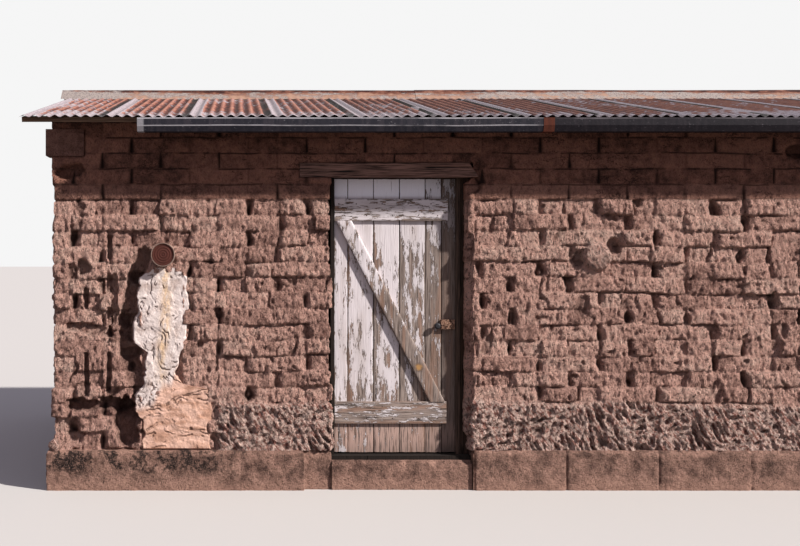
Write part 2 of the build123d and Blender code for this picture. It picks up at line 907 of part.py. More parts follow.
foot_x = (door_left + seat_gap, door_left + seat_gap + pintle_foot_width)
with BuildPart() as door_pintles:
    for strap_z in strap_levels:
        arm_z = strap_z - seat_gap - pintle_arm_height
        add(block((foot_x[0], hinge_x), arm_y, (arm_z, arm_z + pintle_arm_height)))
        add(block(foot_x, (jamb_left_back_y, arm_y[1]), (arm_z, arm_z + pintle_arm_height)))
        with BuildSketch(Plane.XY.offset(arm_z)):
            with Locations((hinge_x, hinge_y)):
                Circle(pin_radius)
        extrude(amount=pintle_arm_height + strap_height + seat_gap)
keep(door_pintles.part, "door_pintles")

# Door leaf: upright boards, two ledges and a brace
with BuildPart() as door_boards:
    board_left = leaf_left
    for board_width in board_widths:
        add(
            block(
                (board_left, board_left + board_width - board_gap),
                (leaf_front_y, leaf_back_y),
                (leaf_bottom, leaf_top),
            )
        )
        board_left += board_width
keep(door_boards.part, "door_boards")
ledge_y = (leaf_front_y - ledge_thickness, leaf_front_y)
ledge_top = block(
    (leaf_left, leaf_right - ledge_top_short), ledge_y, (ledge_top_z - ledge_height, ledge_top_z)
)
keep(ledge_top, "door_ledge_top")
ledge_bottom = block(
    (leaf_left, leaf_right - ledge_bottom_short),
    ledge_y,
    (ledge_bottom_z, ledge_bottom_z + ledge_height),
)
keep(ledge_bottom, "door_ledge_bottom")
brace_top_z = ledge_top_z - ledge_height - seat_gap
brace_bottom_z = ledge_bottom_z + ledge_height + seat_gap
brace_left = leaf_left + brace_left_inset
brace_right = leaf_right - ledge_bottom_short - brace_right_inset
door_brace = front_profile(
    [
        (brace_left, brace_top_z),
        (brace_left + brace_width, brace_top_z),
        (brace_right, brace_bottom_z),
        (brace_right - brace_width, brace_bottom_z),
    ],
    ledge_y,
)
keep(door_brace, "door_brace")

# Knob and latch block
knob_axis = Plane(
    origin=(leaf_right - knob_from_latch_edge, leaf_front_y, leaf_bottom + knob_height),
    x_dir=(1, 0, 0),
    z_dir=(0, -1, 0),
)
knob_levels = (
    (0.0, knob_stem_length, knob_stem_radius, knob_stem_radius),
    (knob_stem_length, knob_back_length, knob_stem_radius, knob_radius),
    (knob_stem_length + knob_back_length, knob_belt_length, knob_radius, knob_radius),
    (
        knob_stem_length + knob_back_length + knob_belt_length,
        knob_face_length,
        knob_radius,
        knob_face_radius,
    ),
)
with BuildPart() as door_knob:
    for start, length, near_radius, far_radius in knob_levels:
        with Locations(knob_axis.offset(start)):
            if near_radius == far_radius:
                Cylinder(near_radius, length, align=(Align.CENTER, Align.CENTER, Align.MIN))
            else:
                Cone(near_radius, far_radius, length, align=(Align.CENTER, Align.CENTER, Align.MIN))
keep(door_knob.part, "door_knob")
latch_right = leaf_right - latch_from_edge
latch_z = leaf_bottom + knob_height - latch_height / 3
door_latch_block = block(
    (latch_right - latch_width, latch_right),
    (leaf_front_y - latch_thickness, leaf_front_y),
    (latch_z, latch_z + latch_height),
)
keep(door_latch_block, "door_latch_block")
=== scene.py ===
"""Dresses the adobe house: mud brick walls, a board door, a corrugated iron roof and a block plinth.

Metres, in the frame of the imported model: X runs along the front, Y into the house and Z up.
"""

from __future__ import annotations

import logging
import math
from dataclasses import dataclass
from enum import Enum
from typing import Callable, Sequence

import bmesh
import bpy
import numpy as np
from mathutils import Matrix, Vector

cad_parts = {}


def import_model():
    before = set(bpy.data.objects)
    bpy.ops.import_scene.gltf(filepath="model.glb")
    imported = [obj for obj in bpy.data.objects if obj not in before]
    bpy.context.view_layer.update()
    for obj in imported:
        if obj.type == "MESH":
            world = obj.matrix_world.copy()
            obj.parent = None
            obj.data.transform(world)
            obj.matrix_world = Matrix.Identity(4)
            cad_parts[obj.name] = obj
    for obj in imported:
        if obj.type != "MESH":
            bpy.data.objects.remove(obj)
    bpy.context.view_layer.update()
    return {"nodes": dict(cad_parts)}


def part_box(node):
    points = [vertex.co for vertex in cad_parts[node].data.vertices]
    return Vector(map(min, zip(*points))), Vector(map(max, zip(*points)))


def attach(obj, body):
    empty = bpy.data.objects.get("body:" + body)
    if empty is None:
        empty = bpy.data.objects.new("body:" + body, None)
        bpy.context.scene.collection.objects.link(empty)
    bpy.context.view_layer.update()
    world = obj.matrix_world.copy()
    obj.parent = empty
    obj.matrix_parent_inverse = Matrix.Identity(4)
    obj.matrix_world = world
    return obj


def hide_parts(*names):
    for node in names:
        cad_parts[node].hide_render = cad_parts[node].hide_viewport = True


log = logging.getLogger("adobe_house")

Array = np.ndarray
Color = tuple[int, int, int]
Triple = tuple[float, float, float]
Pair = tuple[float, float]
PlaneValue = Callable[[Array, Array], Array]
Material = bpy.types.Material
Piece = bpy.types.Object
HASH_MASK = 0xFFFFFFFF


def linear(color: Color, share: float = 1.0) -> tuple[float, ...]:
    """Turns a colour of three screen values from 0 to 255 into linear light.

    Args:
        color: Screen values of red, green and blue.
        share: What the light is multiplied by.

    Returns:
        The three linear values, and 1 for opaque.
    """
    screen = (v / 255 for v in color)
    light = (v / 12.92 if v <= 0.04045 else ((v + 0.055) / 1.055) ** 2.4 for v in screen)
    return (*(v * share for v in light), 1.0)


def lattice(column: Array, row: Array, seed: int) -> Array:
    """Random value from 0 to 1 at whole-number places.

    The column, the row and the seed are multiplied by large odd numbers, added, and mixed by
    shifting and multiplying once more.

    Args:
        column: Whole numbers along the first direction.
        row: Whole numbers along the second direction.
        seed: Chooses one of many unlike patterns.

    Returns:
        One value for each place.
    """
    mixed = (column * 374761393 + row * 668265263 + seed * 974634777) & HASH_MASK
    mixed = ((mixed ^ (mixed >> 13)) * 1274126177) & HASH_MASK
    return ((mixed ^ (mixed >> 16)) & 0xFFFFFF) / 0xFFFFFF


def smooth_noise(x: Array, z: Array, seed: int = 0) -> Array:
    """Value noise: the lattice values round each place, blended by 3t^2 - 2t^3 in both directions.

    Args:
        x: Places along the first direction, in lattice steps.
        z: Places along the second direction, in lattice steps.
        seed: Chooses the pattern.

    Returns:
        Values from 0 to 1.
    """
    x, z = np.broadcast_arrays(np.asarray(x, float), np.asarray(z, float))
    column = np.floor(x).astype(np.int64)
    row = np.floor(z).astype(np.int64)
    u = x - column
    v = z - row
    u = u * u * (3 - 2 * u)
    v = v * v * (3 - 2 * v)
    low = lattice(column, row, seed) * (1 - u) + lattice(column + 1, row, seed) * u
    high = lattice(column, row + 1, seed) * (1 - u) + lattice(column + 1, row + 1, seed) * u
    return low * (1 - v) + high * v


def fractal(x: Array, z: Array, octaves: int, seed: int = 0) -> Array:
    """Sum of noises, each twice as fine and half as strong as the one before, from -1 to 1.

    Args:
        x: Places along the first direction, in steps of the coarsest noise.
        z: Places along the second direction, in steps of the coarsest noise.
        octaves: How many noises are added.
        seed: Chooses the pattern.

    Returns:
        Values from -1 to 1, near 0 on average.
    """
    total = sum(
        smooth_noise(x * 2**k, z * 2**k, seed + 17 * k) * 0.5**k for k in range(octaves)
    )
    return 2 * total / (2 - 0.5 ** (octaves - 1)) - 1


def rise(value: Array, low: float, high: float) -> Array:
    """Smooth step: 0 below low, 1 above high, and 3t^2 - 2t^3 between.

    Args:
        value: What is compared.
        low: Where the step starts.
        high: Where the step ends; lower than low for a falling step.

    Returns:
        Values from 0 to 1.
    """
    t = np.clip((value - low) / (high - low), 0, 1)
    return t * t * (3 - 2 * t)


def dent(across: Array, half_width: Array | float) -> Array:
    """Flat-bottomed hollow: 1 / (1 + (distance / half width) ^ 4).

    Args:
        across: Distance from the middle of the hollow.
        half_width: Distance at which it is half as deep.

    Returns:
        1 in the middle, falling to 0.
    """
    return 1 / (1 + (across / half_width) ** 4)


def spread(pair: Pair, share: Array) -> Array:
    """Sizes from the first of a pair upwards: the second, times a share, is added to it."""
    return pair[0] + pair[1] * share


def grid_faces(rows: int, columns: int, start: int = 0, around: bool = False) -> Array:
    """Four-cornered faces over a grid of points stored row by row.

    Args:
        rows: Points along the first direction.
        columns: Points along the second direction.
        start: Index of the first point.
        around: Whether the last column joins the first.

    Returns:
        The corner indices, four to a face.
    """
    index = np.arange(rows * columns).reshape(rows, columns) + start
    if around:
        index = np.hstack([index, index[:, :1]])
    corners = (index[:-1, :-1], index[:-1, 1:], index[1:, 1:], index[1:, :-1])
    return np.stack(corners, axis=-1).reshape(-1, 4)


def rim(front: Array, back: Array) -> list[Array]:
    """Strips that close the gap between two grids along their four edges.

    Args:
        front: Grid whose faces point outwards.
        back: Grid of as many points behind it.

    Returns:
        Four grids of two rows each.
    """
    return [
        np.stack(pair)
        for pair in (
            (front[0], back[0]), (back[-1], front[-1]),
            (back[:, 0], front[:, 0]), (front[:, -1], back[:, -1]),
        )
    ]


class MeshParts:
    """Gathers grids of points, with values at the points, into one mesh."""

    def __init__(self) -> None:
        """Starts with nothing gathered."""
        self.points: list[Array] = []
        self.faces: list[Array] = []
        self.loose: list[list[int]] = []
        self.values: dict[str, list[Array]] = {}
        self.count = 0

    def grid(
        self, points: Array, around: bool = False, flip: bool = False, **values: Array
    ) -> "MeshParts":
        """Adds a grid of points and its faces.

        Args:
            points: Array of rows, columns and three coordinates.
            around: Whether the last column joins the first.
            flip: Whether the faces are turned over.
            values: Named values at the points, as arrays of rows and columns.

        Returns:
            These parts.
        """
        rows, columns = points.shape[:2]
        faces = grid_faces(rows, columns, self.count, around)
        self.faces.append(faces[:, ::-1] if flip else faces)
        self.points.append(points.reshape(-1, 3))
        for name in set(self.values) | set(values):
            self.values.setdefault(name, [np.zeros(self.count)] if self.count else [])
            given = values.get(name, 0.0)
            self.values[name].append(np.broadcast_to(given, (rows, columns)).reshape(-1))
        self.count += rows * columns
        return self

    def cap(self, indices: Sequence[int]) -> "MeshParts":
        """Adds one face of many corners over points that are there already."""
        self.loose.append(list(indices))
        return self

    def build(self, name: str, sharp_degrees: float = 60.0, merge: float = 0.0) -> Piece:
        """Makes the mesh object, smooth but for its sharp edges.

        Args:
            name: Name of the piece.
            sharp_degrees: Edges that turn by more than this stay sharp.
            merge: Points nearer than this are joined, or 0.

        Returns:
            The new object, at the origin.
        """
        points = np.concatenate(self.points)
        faces = np.concatenate(self.faces).tolist() + self.loose
        mesh = bpy.data.meshes.new(name)
        mesh.from_pydata(points.tolist(), [], faces)
        for label, parts in self.values.items():
            layer = mesh.attributes.new(label, "FLOAT", "POINT")
            layer.data.foreach_set("value", np.concatenate(parts).astype(np.float32))
        if merge:
            weld(mesh, merge)
        mesh.polygons.foreach_set("use_smooth", np.ones(len(mesh.polygons), bool))
        mesh.set_sharp_from_angle(angle=math.radians(sharp_degrees))
        mesh.update()
        return place_in_scene(name, mesh)


def place_in_scene(name: str, data: bpy.types.ID) -> Piece:
    """Makes an object of a mesh, lamp or camera, at the origin."""
    thing = bpy.data.objects.new(name, data)
    bpy.context.scene.collection.objects.link(thing)
    return thing


def weld(mesh: bpy.types.Mesh, distance: float) -> None:
    """Joins points that lie together, and drops faces that have no area left.

    Args:
        mesh: The mesh to mend.
        distance: Points nearer than this are joined.
    """
    work = bmesh.new()
    work.from_mesh(mesh)
    bmesh.ops.remove_doubles(work, verts=work.verts, dist=distance)
    bmesh.ops.dissolve_degenerate(work, edges=work.edges, dist=distance / 4)
    work.to_mesh(mesh)
    work.free()


class Tree:
    """The node tree of one material, made a node at a time."""

    def __init__(self, name: str, roughness: float, shine: float) -> None:
        """Makes the material with its shader.

        Args:
            name: Name of the material.
            roughness: Roughness all over, unless one is linked later.
            shine: Specular level, 0.5 for a usual varnish.
        """
        self.material = bpy.data.materials.new(name)
        self.material.use_nodes = True
        self.nodes = self.material.node_tree.nodes
        self.links = self.material.node_tree.links
        self.shader = self.nodes["Principled BSDF"]
        self.shader.inputs["Roughness"].default_value = roughness
        self.shader.inputs["Specular IOR Level"].default_value = shine
        self.place = self.nodes.new("ShaderNodeTexCoord").outputs["Object"]

    def put(self, socket: bpy.types.NodeSocket, value: object) -> None:
        """Gives a socket its value.

        Args:
            socket: The input socket.
            value: Another socket to link, or a number, a vector or a screen colour to set.
        """
        if isinstance(value, bpy.types.NodeSocket):
            self.links.new(value, socket)
        elif isinstance(value, tuple) and len(value) == 3 and socket.type == "RGBA":
            socket.default_value = linear(value)
        else:
            socket.default_value = value

    def add(
        self, kind: str, output: str | int, inputs: dict[str | int, object], **settings: object
    ) -> object:
        """Adds a node.

        Args:
            kind: Its type, less the words that all shader nodes' types start with.
            output: Name or index of the output that is wanted.
            inputs: What goes into its inputs, by name or index.
            settings: Its properties.

        Returns:
            The output's socket.
        """
        node = self.nodes.new(f"ShaderNode{kind}")
        for name, value in settings.items():
            setattr(node, name, value)
        for name, value in inputs.items():
            self.put(node.inputs[name], value)
        return node.outputs[output]

    def stretched(self, scale: Sequence[float], turn_degrees: Sequence[float] = (0, 0, 0)) -> object:
        """Object coordinates, turned and then scaled along each axis."""
        turn = [math.radians(a) for a in turn_degrees]
        turned = self.add("Mapping", "Vector", {"Vector": self.place, "Rotation": turn})
        return self.add("Mapping", "Vector", {"Vector": turned, "Scale": scale})

    def drawn_out(self, axis: int, share: float) -> object:
        """Object coordinates times a share along one axis; below 1 it draws a pattern out."""
        return self.stretched([share if a == axis else 1.0 for a in range(3)])

    def coordinate(self, axis: str) -> object:
        """One of the object's coordinates, named X, Y or Z."""
        return self.add("SeparateXYZ", axis, {0: self.place})

    def height(self) -> object:
        """Height above the ground."""
        return self.coordinate("Z")

    def noise(self, scale: float, detail: float = 4.0, where: object = None, rough: float = 0.5) -> object:
        """Fractal noise from 0 to 1 over the object's coordinates, or over another vector."""
        inputs = {"Scale": scale, "Detail": detail, "Roughness": rough, "Vector": where or self.place}
        return self.add("TexNoise", "Fac", inputs)

    def cells(self, scale: float, where: object, feature: str = "F1") -> object:
        """Distance to the nearest of many random points, or to the edges between them."""
        return self.add("TexVoronoi", "Distance", {"Scale": scale, "Vector": where}, feature=feature)

    def value(self, name: str) -> object:
        """A named value that is stored at the mesh's points."""
        return self.add("Attribute", "Fac", {}, attribute_name=name)

    def band(self, value: object, low: float, high: float) -> object:
        """Smooth step from 0 at low to 1 at high."""
        inputs = {"From Min": low, "From Max": high, "Value": value}
        return self.add("MapRange", "Result", inputs, interpolation_type="SMOOTHSTEP")

    def reckon(self, kind: str, *values: object) -> object:
        """One step of arithmetic, such as ADD or DIVIDE."""
        return self.add("Math", "Value", dict(enumerate(values)), operation=kind)

    def times(self, first: object, second: object) -> object:
        """One value multiplied by another."""
        return self.reckon("MULTIPLY", first, second)

    def scaled(self, value: object, factor: object, plus: object) -> object:
        """A value multiplied by a factor, with another value added."""
        return self.reckon("MULTIPLY_ADD", value, factor, plus)

    def minus(self, first: object, second: object) -> object:
        """One value less another."""
        return self.reckon("SUBTRACT", first, second)

    def most(self, first: object, second: object) -> object:
        """The greater of two values."""
        return self.reckon("MAXIMUM", first, second)

    def mix(self, share: object, first: object, second: object) -> object:
        """Two colours, the second laid over the first by a share."""
        return self.add("Mix", 2, {0: share, 6: first, 7: second}, data_type="RGBA")

    def bump(self, height: object, distance: float, under: object = None) -> object:
        """Shading normal of a relief from 0 to 1, times a distance, over another normal."""
        inputs = {"Height": height, "Distance": distance} | ({"Normal": under} if under else {})
        return self.add("Bump", "Normal", inputs)

    def ramp(self, value: object, stops: Sequence[tuple[float, Color]]) -> object:
        """Colours along a value, blended between stops.

        Args:
            value: Where along the ramp.
            stops: Places from 0 to 1 with their screen colours.

        Returns:
            The colour's socket.
        """
        node = self.nodes.new("ShaderNodeValToRGB")
        elements = node.color_ramp.elements
        while len(elements) < len(stops):
            elements.new(0.5)
        for element, (position, color) in zip(elements, stops):
            element.position = position
            element.color = linear(color)
        self.put(node.inputs["Fac"], value)
        return node.outputs["Color"]

    def finish(self, color: object, normal: object = None, roughness: object = None) -> Material:
        """Links the last sockets to the shader.

        Args:
            color: Base colour.
            normal: Shading normal, if the surface has relief.
            roughness: Roughness, if it varies.

        Returns:
            The material.
        """
        self.put(self.shader.inputs["Base Color"], color)
        if normal is not None:
            self.put(self.shader.inputs["Normal"], normal)
        if roughness is not None:
            self.put(self.shader.inputs["Roughness"], roughness)
        return self.material


@dataclass(frozen=True)
class AdobeFinish:
    """Sun-dried mud: tone by brick, speckle, dark joints and a grey fibrous splash coat, with painted
    shade in hollows, pits, low lumps, the coat's fibre gaps and the sheltered courses.
    """

    light: Color = (252, 213, 195)
    middle: Color = (240, 189, 172)
    dark: Color = (118, 80, 71)
    # Sheltered courses: their own darker unweathered tone, darkened further as painted shade of the eave
    sheltered_shade_and_tone: Color = (162, 105, 84)
    sheltered_dark_shade_and_tone: Color = (70, 42, 34)
    # Colour of the painted shade in hollows, pits and low lumps, and of the dark joints
    hollow: Color = (40, 23, 20)
    coat_light: Color = (255, 220, 205)
    # Low fibres of the coat: its own darker tone and painted shade in the gaps
    coat_dark_and_gap_shade: Color = (186, 130, 117)
    course: float = 0.119
    tone_share: float = 0.19
    sheltered_tone_share: float = 0.13
    hollow_shade_and_joint_share: float = 0.80
    pit_shade_share: float = 0.66
    grain_depth: float = 0.008
    pit_depth: float = 0.022
    fibre_depth: float = 0.11
    lump_depth: float = 0.125

    def bed_cracks(self, t: Tree, wall_top: float) -> object:
        """Thin broken lines along the bed joints, from the height's remainder by courses.

        Args:
            t: The tree to add to.
            wall_top: Height that the courses are counted down from.

        Returns:
            The lines' share, 0 to 1.
        """
        down = t.reckon("DIVIDE", t.minus(wall_top, t.height()), self.course)
        down = t.reckon("ADD", down, t.scaled(t.noise(3.0, 4.0), 0.30, -0.15))
        part = t.reckon("FRACT", down)
        to_line = t.reckon("MINIMUM", part, t.minus(1.0, part))
        broken = t.band(t.noise(4.5, 4.0, rough=0.6), 0.42, 0.54)
        beds = t.times(t.band(to_line, 0.075, 0.030), broken)
        field = t.noise(3.4, 9.0, t.drawn_out(2, 2.4), rough=0.62)
        line = t.band(t.reckon("ABSOLUTE", t.minus(field, 0.5)), 0.012, 0.004)
        kept = t.band(t.noise(2.3, 4.0, rough=0.6), 0.50, 0.58)
        return t.most(beds, t.times(line, kept))

    def material(self, wall_top: float) -> Material:
        """Builds the material, which reads the walls' tone, coat and age, and the painted shade of their
        hollows with their dark joints.

        Args:
            wall_top: Height that the courses are counted down from.

        Returns:
            The material.
        """
        t = Tree("adobe", roughness=0.95, shine=0.15)
        speckle = t.noise(95.0, 3.0, rough=0.65)
        clods = t.noise(16.0, 5.0, rough=0.6)
        patches = t.noise(1.3, 3.0)
        lump = t.noise(56.0, 5.0, t.drawn_out(2, 0.58), rough=0.66)
        even = t.scaled(speckle, 0.25, t.times(clods, 0.55))
        even = t.scaled(patches, 0.25, t.minus(even, 0.20))
        level = t.scaled(t.value("tone"), self.tone_share, t.reckon("ADD", even, 0.05))
        mud = t.ramp(level, [(0.22, self.dark), (0.48, self.middle), (0.72, self.light)])
        calm_level = t.reckon("ADD", even, 0.085)
        calm_level = t.scaled(t.value("tone"), self.sheltered_tone_share, calm_level)
        calm_shade_and_tone = t.ramp(calm_level, [(0.33, self.sheltered_dark_shade_and_tone), (0.57, self.sheltered_shade_and_tone)])
        # The sheltered courses take these colours: their own tone and painted eave shade
        mud = t.mix(t.scaled(t.value("age"), -0.85, 0.85), mud, calm_shade_and_tone)
        # The coat is coloured by the same fibres as its bump: the dark low fibres are partly painted shade
        fibre_place = t.stretched((1.0, 1.0, 0.20), (0, 40, 0))
        fibres = t.noise(64.0, 3.0, fibre_place, rough=0.55)
        coat = t.ramp(fibres, [(0.40, self.coat_dark_and_gap_shade), (0.53, self.coat_light)])
        color = t.mix(t.value("coat"), mud, coat)
        worn = t.scaled(t.value("age"), 0.65, 0.35)
        cell = t.cells(74.0, t.drawn_out(2, 0.52))
        # Painted shade: the low parts of the lumps and the pits are darkened as if shaded
        low = t.times(t.band(lump, 0.455, 0.395), t.times(worn, self.pit_shade_share))
        pit_shade = t.times(t.band(cell, 0.25, 0.13), t.times(worn, self.pit_shade_share))
        calm_share = t.minus(1.0, t.value("age"))
        crack = t.times(self.bed_cracks(t, wall_top), t.times(calm_share, 0.8))
        # Painted shade of the hollows, with the dark joint lines and sheltered bed cracks, darkens the
        # colour
        shade = t.most(t.most(low, pit_shade), t.times(t.value("hollow"), self.hollow_shade_and_joint_share))
        shade = t.most(shade, crack)
        color = t.mix(shade, color, self.hollow)
        grain = t.bump(t.noise(210.0, 3.0, rough=0.7), self.grain_depth)
        pits = t.bump(t.times(t.band(cell, 0.05, 0.5), worn), self.pit_depth, grain)
        threads = t.bump(t.times(fibres, t.value("coat")), self.fibre_depth, pits)
        lumps = t.bump(t.times(lump, worn), self.lump_depth, threads)
        return t.finish(color, lumps)


@dataclass(frozen=True)
class MasonryFinish:
    """Rough cast block: grainy, with dark stains and, if asked for, a dusty foot."""

    name: str
    light: Color
    dark: Color
    stain: Color
    stain_share: float = 0.6
    scale: float = 1.0
    dust: Color | None = None
    stained_to: float = 99.0

    def material(self) -> Material:
        """Builds the material over object coordinates.

        Returns:
            The material.
        """
        t = Tree(self.name, roughness=0.93, shine=0.2)
        body = t.ramp(t.noise(9.0 * self.scale, 6.0, rough=0.65), [(0.36, self.dark), (0.62, self.light)])
        flecks = t.scaled(t.noise(42.0 * self.scale, 4.0), 0.9, 0.55)
        if self.dust is None:
            blots = t.times(t.noise(3.4 * self.scale, 3.0), flecks)
            share = t.times(t.band(blots, 0.50, 0.62), self.stain_share)
        else:
            wavy = t.scaled(t.noise(5.0, 4.0), 0.16, t.height())
            stained = t.times(t.noise(7.0, 4.0, t.drawn_out(2, 0.5)), flecks)
            share = t.times(t.band(stained, 0.46, 0.60), self.stain_share)
            share = t.times(share, t.band(wavy, 0.17, 0.26))
            place = t.band(t.coordinate("X"), self.stained_to + 0.3, self.stained_to - 0.2)
            share = t.times(share, t.scaled(place, 0.75, 0.25))
            body = t.mix(t.times(t.band(wavy, 0.20, 0.10), 0.7), body, self.dust)
            edge = t.times(t.band(wavy, 0.365, 0.375), 0.5)
            body = t.mix(edge, body, self.light)
        color = t.mix(share, body, self.stain)
        speckle = t.band(t.noise(150.0, 2.0), 0.54, 0.66)
        color = t.mix(t.times(speckle, 0.55), color, self.light)
        dark = t.band(t.noise(110.0, 3.0), 0.44, 0.34)
        color = t.mix(t.times(dark, 0.70), color, self.stain)
        grain = t.bump(t.noise(130.0, 4.0, rough=0.7), 0.016)
        return t.finish(color, t.bump(t.noise(34.0 * self.scale, 4.0), 0.018, grain))


@dataclass(frozen=True)
class TimberFinish:
    """Bare weathered timber, its grain along one axis."""

    name: str
    light: Color
    dark: Color
    warm: Color
    along: int = 0

    def material(self) -> Material:
        """Builds the material over object coordinates, squeezed along the grain.

        Returns:
            The material.
        """
        t = Tree(self.name, roughness=0.88, shine=0.25)
        grain_place = t.drawn_out(self.along, 0.045)
        grain = t.noise(95.0, 5.0, grain_place, rough=0.6)
        broad = t.noise(14.0, 3.0, grain_place)
        color = t.ramp(grain, [(0.34, self.dark), (0.62, self.light)])
        color = t.mix(t.times(t.band(broad, 0.50, 0.68), 0.55), color, self.warm)
        checks = t.band(t.noise(60.0, 2.0, grain_place), 0.30, 0.38)
        color = t.mix(t.minus(1.0, checks), color, linear(self.dark, 0.25))
        fine = t.bump(grain, 0.003)
        return t.finish(color, t.bump(checks, 0.005, fine))


@dataclass(frozen=True)
class PaintedBoardFinish:
    """White paint that flakes off grey and brown boards; paler paint above the top ledge is painted light
    in the lintel's shade, and the grime value holds painted shade too.
    """

    paint: Color = (216, 206, 208)
    soiled: Color = (178, 162, 156)
    wood: Color = (156, 139, 130)
    wood_dark: Color = (78, 62, 55)
    warm: Color = (146, 108, 86)
    foot: Color = (178, 147, 135)
    foot_below: float = 0.0
    # Paler paint at the head of the boards: painted light that lifts the lintel's shade
    head: Color = (250, 248, 255)
    painted_light_above: float = 9.0
    knot: Color = (184, 134, 68)
    flake_share: float = 0.22
    flake_depth: float = 0.0035
    grain_depth: float = 0.004

    def material(self, name: str, along: int) -> Material:
        """Builds the material for boards whose grain runs along one axis.

        Args:
            name: Name of the material.
            along: 0 for grain along X, 2 for grain along Z.

        Returns:
            The material, which reads the boards' wear and tone.
        """
        t = Tree(name, roughness=0.75, shine=0.5)
        grain_place = t.drawn_out(along, 0.05)
        grain = t.noise(120.0, 5.0, grain_place, rough=0.62)
        broad = t.noise(16.0, 3.0, grain_place)
        wood = t.ramp(grain, [(0.36, self.wood_dark), (0.58, self.wood)])
        wood = t.mix(t.times(t.band(broad, 0.52, 0.62), 0.55), wood, self.warm)
        low = t.scaled(t.noise(7.0, 3.0), 0.12, t.height())
        share = t.band(low, self.foot_below, self.foot_below - 0.12)
        wood = t.mix(t.times(share, t.band(grain, 0.38, 0.52)), wood, self.foot)
        flakes = t.noise(26.0, 7.0, t.drawn_out(along, self.flake_share), rough=0.68)
        chips = t.noise(110.0, 4.0, t.drawn_out(along, self.flake_share), rough=0.7)
        edge = t.scaled(chips, 0.40, t.scaled(flakes, 0.8, -0.15))
        held = t.minus(edge, t.value("wear"))
        cover = t.band(held, -0.012, 0.012)
        dirt = t.band(t.noise(9.0, 5.0, t.drawn_out(along, self.flake_share)), 0.45, 0.75)
        paint = t.mix(t.times(dirt, 0.55), self.paint, self.soiled)
        # Painted light: paler paint above the top ledge, in the lintel's shade
        paint = t.mix(t.band(t.height(), self.painted_light_above, self.painted_light_above + 0.03), paint, self.head)
        crack = t.noise(70.0, 3.0, grain_place)
        paint = t.mix(t.times(t.band(crack, 0.34, 0.27), 0.8), paint, self.wood_dark)
        split = t.times(t.band(crack, 0.40, 0.31), 0.85)
        wood = t.mix(split, wood, linear(self.wood_dark, 0.3))
        outline = t.times(t.band(held, -0.035, -0.012), t.band(held, 0.0, -0.012))
        wood = t.mix(t.times(outline, 0.55), wood, self.wood_dark)
        color = t.mix(cover, wood, paint)
        color = t.mix(t.value("knot"), color, self.knot)
        # Grime and painted shade: the reveal's shadow on the last boards and the brace's shaded left edge
        color = t.mix(t.times(t.value("grime"), 0.8), color, self.wood_dark)
        fine = t.bump(grain, self.grain_depth)
        lifted = t.bump(t.band(held, -0.03, 0.03), self.flake_depth, fine)
        return t.finish(color, lifted)


@dataclass(frozen=True)
class SheetIronFinish:
    """Galvanised sheet that rusts red-brown away from its laps and edges."""

    zinc: Color = (172, 158, 162)
    zinc_dark: Color = (98, 88, 93)
    zinc_aged: Color = (112, 104, 116)
    rust: Color = (112, 64, 53)
    rust_light: Color = (164, 114, 97)
    rust_dark: Color = (54, 28, 25)
    aged: Color = (58, 31, 30)
    # Colour of the painted shadow line along each lap
    seam: Color = (26, 17, 17)

    def material(self, name: str, along: int = 1) -> Material:
        """Builds the material, which reads the sheets' rust, age, dirt and crest values; crests are
        lighter as painted highlight, and the dirt value holds painted shade in the valleys.

        Args:
            name: Name of the material.
            along: Axis that the water runs along.

        Returns:
            The material.
        """
        t = Tree(name, roughness=0.7, shine=0.2)
        streaks = t.noise(26.0, 5.0, t.drawn_out(along, 0.22), rough=0.6)
        mottle = t.noise(9.0, 6.0, rough=0.7)
        fine = t.noise(80.0, 4.0, rough=0.6)
        level = t.scaled(streaks, 0.5, t.times(mottle, 0.5))
        # Painted highlight: crests are tinted lighter, as if lit
        tint_and_crest_highlight = t.scaled(t.value("crest"), 0.24, t.minus(level, 0.13))
        rust = t.ramp(tint_and_crest_highlight, [(0.39, self.rust_dark), (0.49, self.rust), (0.61, self.rust_light)])
        rust = t.mix(t.times(t.value("age"), 0.66), rust, self.aged)
        zinc = t.ramp(fine, [(0.35, self.zinc_dark), (0.52, self.zinc)])
        zinc = t.mix(t.times(t.value("age"), 0.55), zinc, self.zinc_aged)
        edge = t.scaled(level, 1.5, t.minus(t.value("rust"), 0.75))
        cover = t.band(edge, 0.40, 0.62)
        color = t.mix(cover, zinc, rust)
        # Dirt and painted shade: the valleys are darker
        color = t.mix(t.times(t.value("dirt"), 0.85), color, self.rust_dark)
        # Painted shadow along each lap
        color = t.mix(t.value("lap"), color, self.seam)
        rough = t.scaled(cover, 0.35, 0.5)
        return t.finish(color, t.bump(fine, 0.0012), rough)


